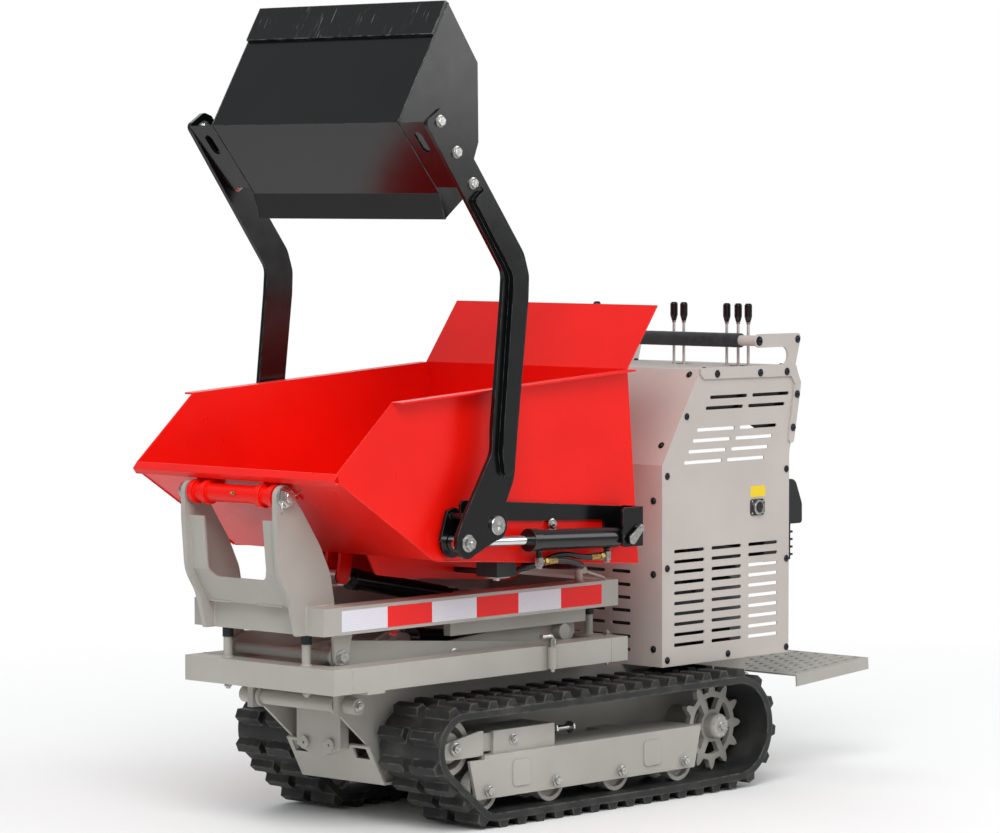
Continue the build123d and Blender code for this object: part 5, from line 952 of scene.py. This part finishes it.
form = bmesh.new()
back = (-1, 0, 0)
for ring, count in SLOT_RINGS:
    for i in range(count):
        turn = 2 * math.pi * i / count
        ends = []
        for reach in (ring - SLOT_HALF, ring + SLOT_HALF):
            along, up = reach * math.cos(turn), reach * math.sin(turn)
            ends.append(at(ENGINE_REAR - SLOT_BACK, STARTER_Y + along, STARTER_Z + up))
        bead(form, ends[0], ends[1], 1.6)
turned(form, at(ENGINE_REAR - STARTER_DEEP - 0.2, STARTER_Y, STARTER_Z), back,
       [(30, 0), (30, 1.5), (27, 3), (10, 3.4)], 32)
pull = at(ENGINE_REAR + PULL[0], STARTER_Y + PULL[1], STARTER_Z + PULL[2])
turned(form, pull, (-0.4, 0.2, 1), [(5, 0), (7, 3), (7, 12), (5, 16)], 16)
tube(form, [pull + Vector(step) / 1000 for step in PULL_BAR], 6.5, 12)
wing_nut = [(16, 0), (16, 3), (9, 5), (8, 13), (5, 15)]
turned(form, at(FILTER_REAR - 0.2, FILTER_Y, WING_Z), back, wing_nut, 24)
hub = at(FILTER_REAR - 8, FILTER_Y, WING_Z)
for degrees in WING_ARMS:
    turn = math.radians(degrees)
    tip = at(FILTER_REAR - 8, FILTER_Y + WING_REACH * math.cos(turn), WING_Z + WING_REACH * math.sin(turn))
    tube(form, [hub, tip], 3.6)
fitted("engine_trim", form, [moulded_black], "chassis")

form = bmesh.new()
for degrees in STARTER_SCREWS:
    turn = math.radians(degrees)
    along, up = SCREW_RING * math.cos(turn), SCREW_RING * math.sin(turn)
    spot = at(ENGINE_REAR - 28.2, STARTER_Y + along, STARTER_Z + up)
    turned(form, spot, back, [(7, 0), (7, 1.5), (5.2, 1.6), (5.2, 5)], 12)
fitted("starter_screws", form, [zinc], "chassis")


# The handlebar's foam sleeve: black closed-cell foam pushed over the steel bar, with a soft matt skin and
# slightly rolled ends.
BAR_X, BAR_Z = -896.0, 1034.0
GRIP_HALF, GRIP_R, BAR_R = 192.5, 17.0, 12.5
FOAM, FOAM_WORN = "#242628", "#303336"
CELLS_MM = 1.8
WAVES, WAVE_LONG, WAVE_DEEP = 41, 9.4, 0.25

foam, tree = blank("closed_cell_foam")
finish_with(tree, {"Base Color": between(tree, clouds(tree, 14, 0.35, 0.7), linear(FOAM), linear(FOAM_WORN)),
                   "Roughness": 0.85, "IOR": 1.4, "Sheen Weight": 0.2, "Sheen Roughness": 0.5,
                   "Normal": grain(tree, CELLS_MM, 0.6, 0.3)})
form = bmesh.new()
long = 2 * GRIP_HALF
profile = [(BAR_R + 0.2, 0.6), (GRIP_R - 1.5, 0), (GRIP_R, 2.5)]
profile += [(GRIP_R - WAVE_DEEP * math.sin(i * 0.9) ** 2, 8 + WAVE_LONG * i) for i in range(WAVES)]
profile += [(GRIP_R, long - 2.5), (GRIP_R - 1.5, long), (BAR_R + 0.2, long - 0.6)]
turned(form, at(BAR_X, -GRIP_HALF, BAR_Z), (0, 1, 0), profile, 32)
sleeve = fitted("foam_sleeve", form, [foam], "chassis", 60)
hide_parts("grip")


# The control levers: nickel-plated rods that come up through slots in the top sheet. A thin nut locks each
# of their glossy moulded knobs.
KNOB_TOP, KNOB_LONG, NUT_DOWN = 1120.0, 44.0, 5.0
NICKEL, KNOB_BLACK = "#DEDEDC", "#0F1011"

plated, tree = blank("nickel_plate")
finish_with(tree, {"Base Color": linear(NICKEL), "Metallic": 1.0, "Roughness": 0.5,
                   "Normal": grain(tree, 1.2, 0.2, 0.06)})
dress(["levers"], plated)
glossy_knob, tree = blank("glossy_moulded_knob")
finish_with(tree, {"Base Color": linear(KNOB_BLACK), "Roughness": 0.16, "IOR": 1.5,
                   "Normal": grain(tree, 5.0, 0.05, 0.05, rounded(tree, 2.0))})
dress(["lever_knobs"], glossy_knob)

form = bmesh.new()
for x, y in LEVERS:
    turned(form, at(x, y, KNOB_TOP - KNOB_LONG - NUT_DOWN), (0, 0, 1), [(4.6, 0), (5.4, 1), (5.4, 4.6)], 6)
fitted("lever_nuts", form, [zinc], "chassis")


# The foot platform folds on a hinge pin. Its ends are turned steel heads on washers, bright zinc plated like
# the bolts.
HINGE_X, HINGE_Z, HINGE_SIDE = -1021, 221, 101
HINGE_HEAD = [(13, 0), (13, 2), (9, 2.2), (9, 7), (7.5, 8)]

form = bmesh.new()
for side in (1, -1):
    turned(form, at(HINGE_X, side * HINGE_SIDE, HINGE_Z), (0, side, 0), HINGE_HEAD, 20)
fitted("platform_pin_ends", form, [zinc], "platform")
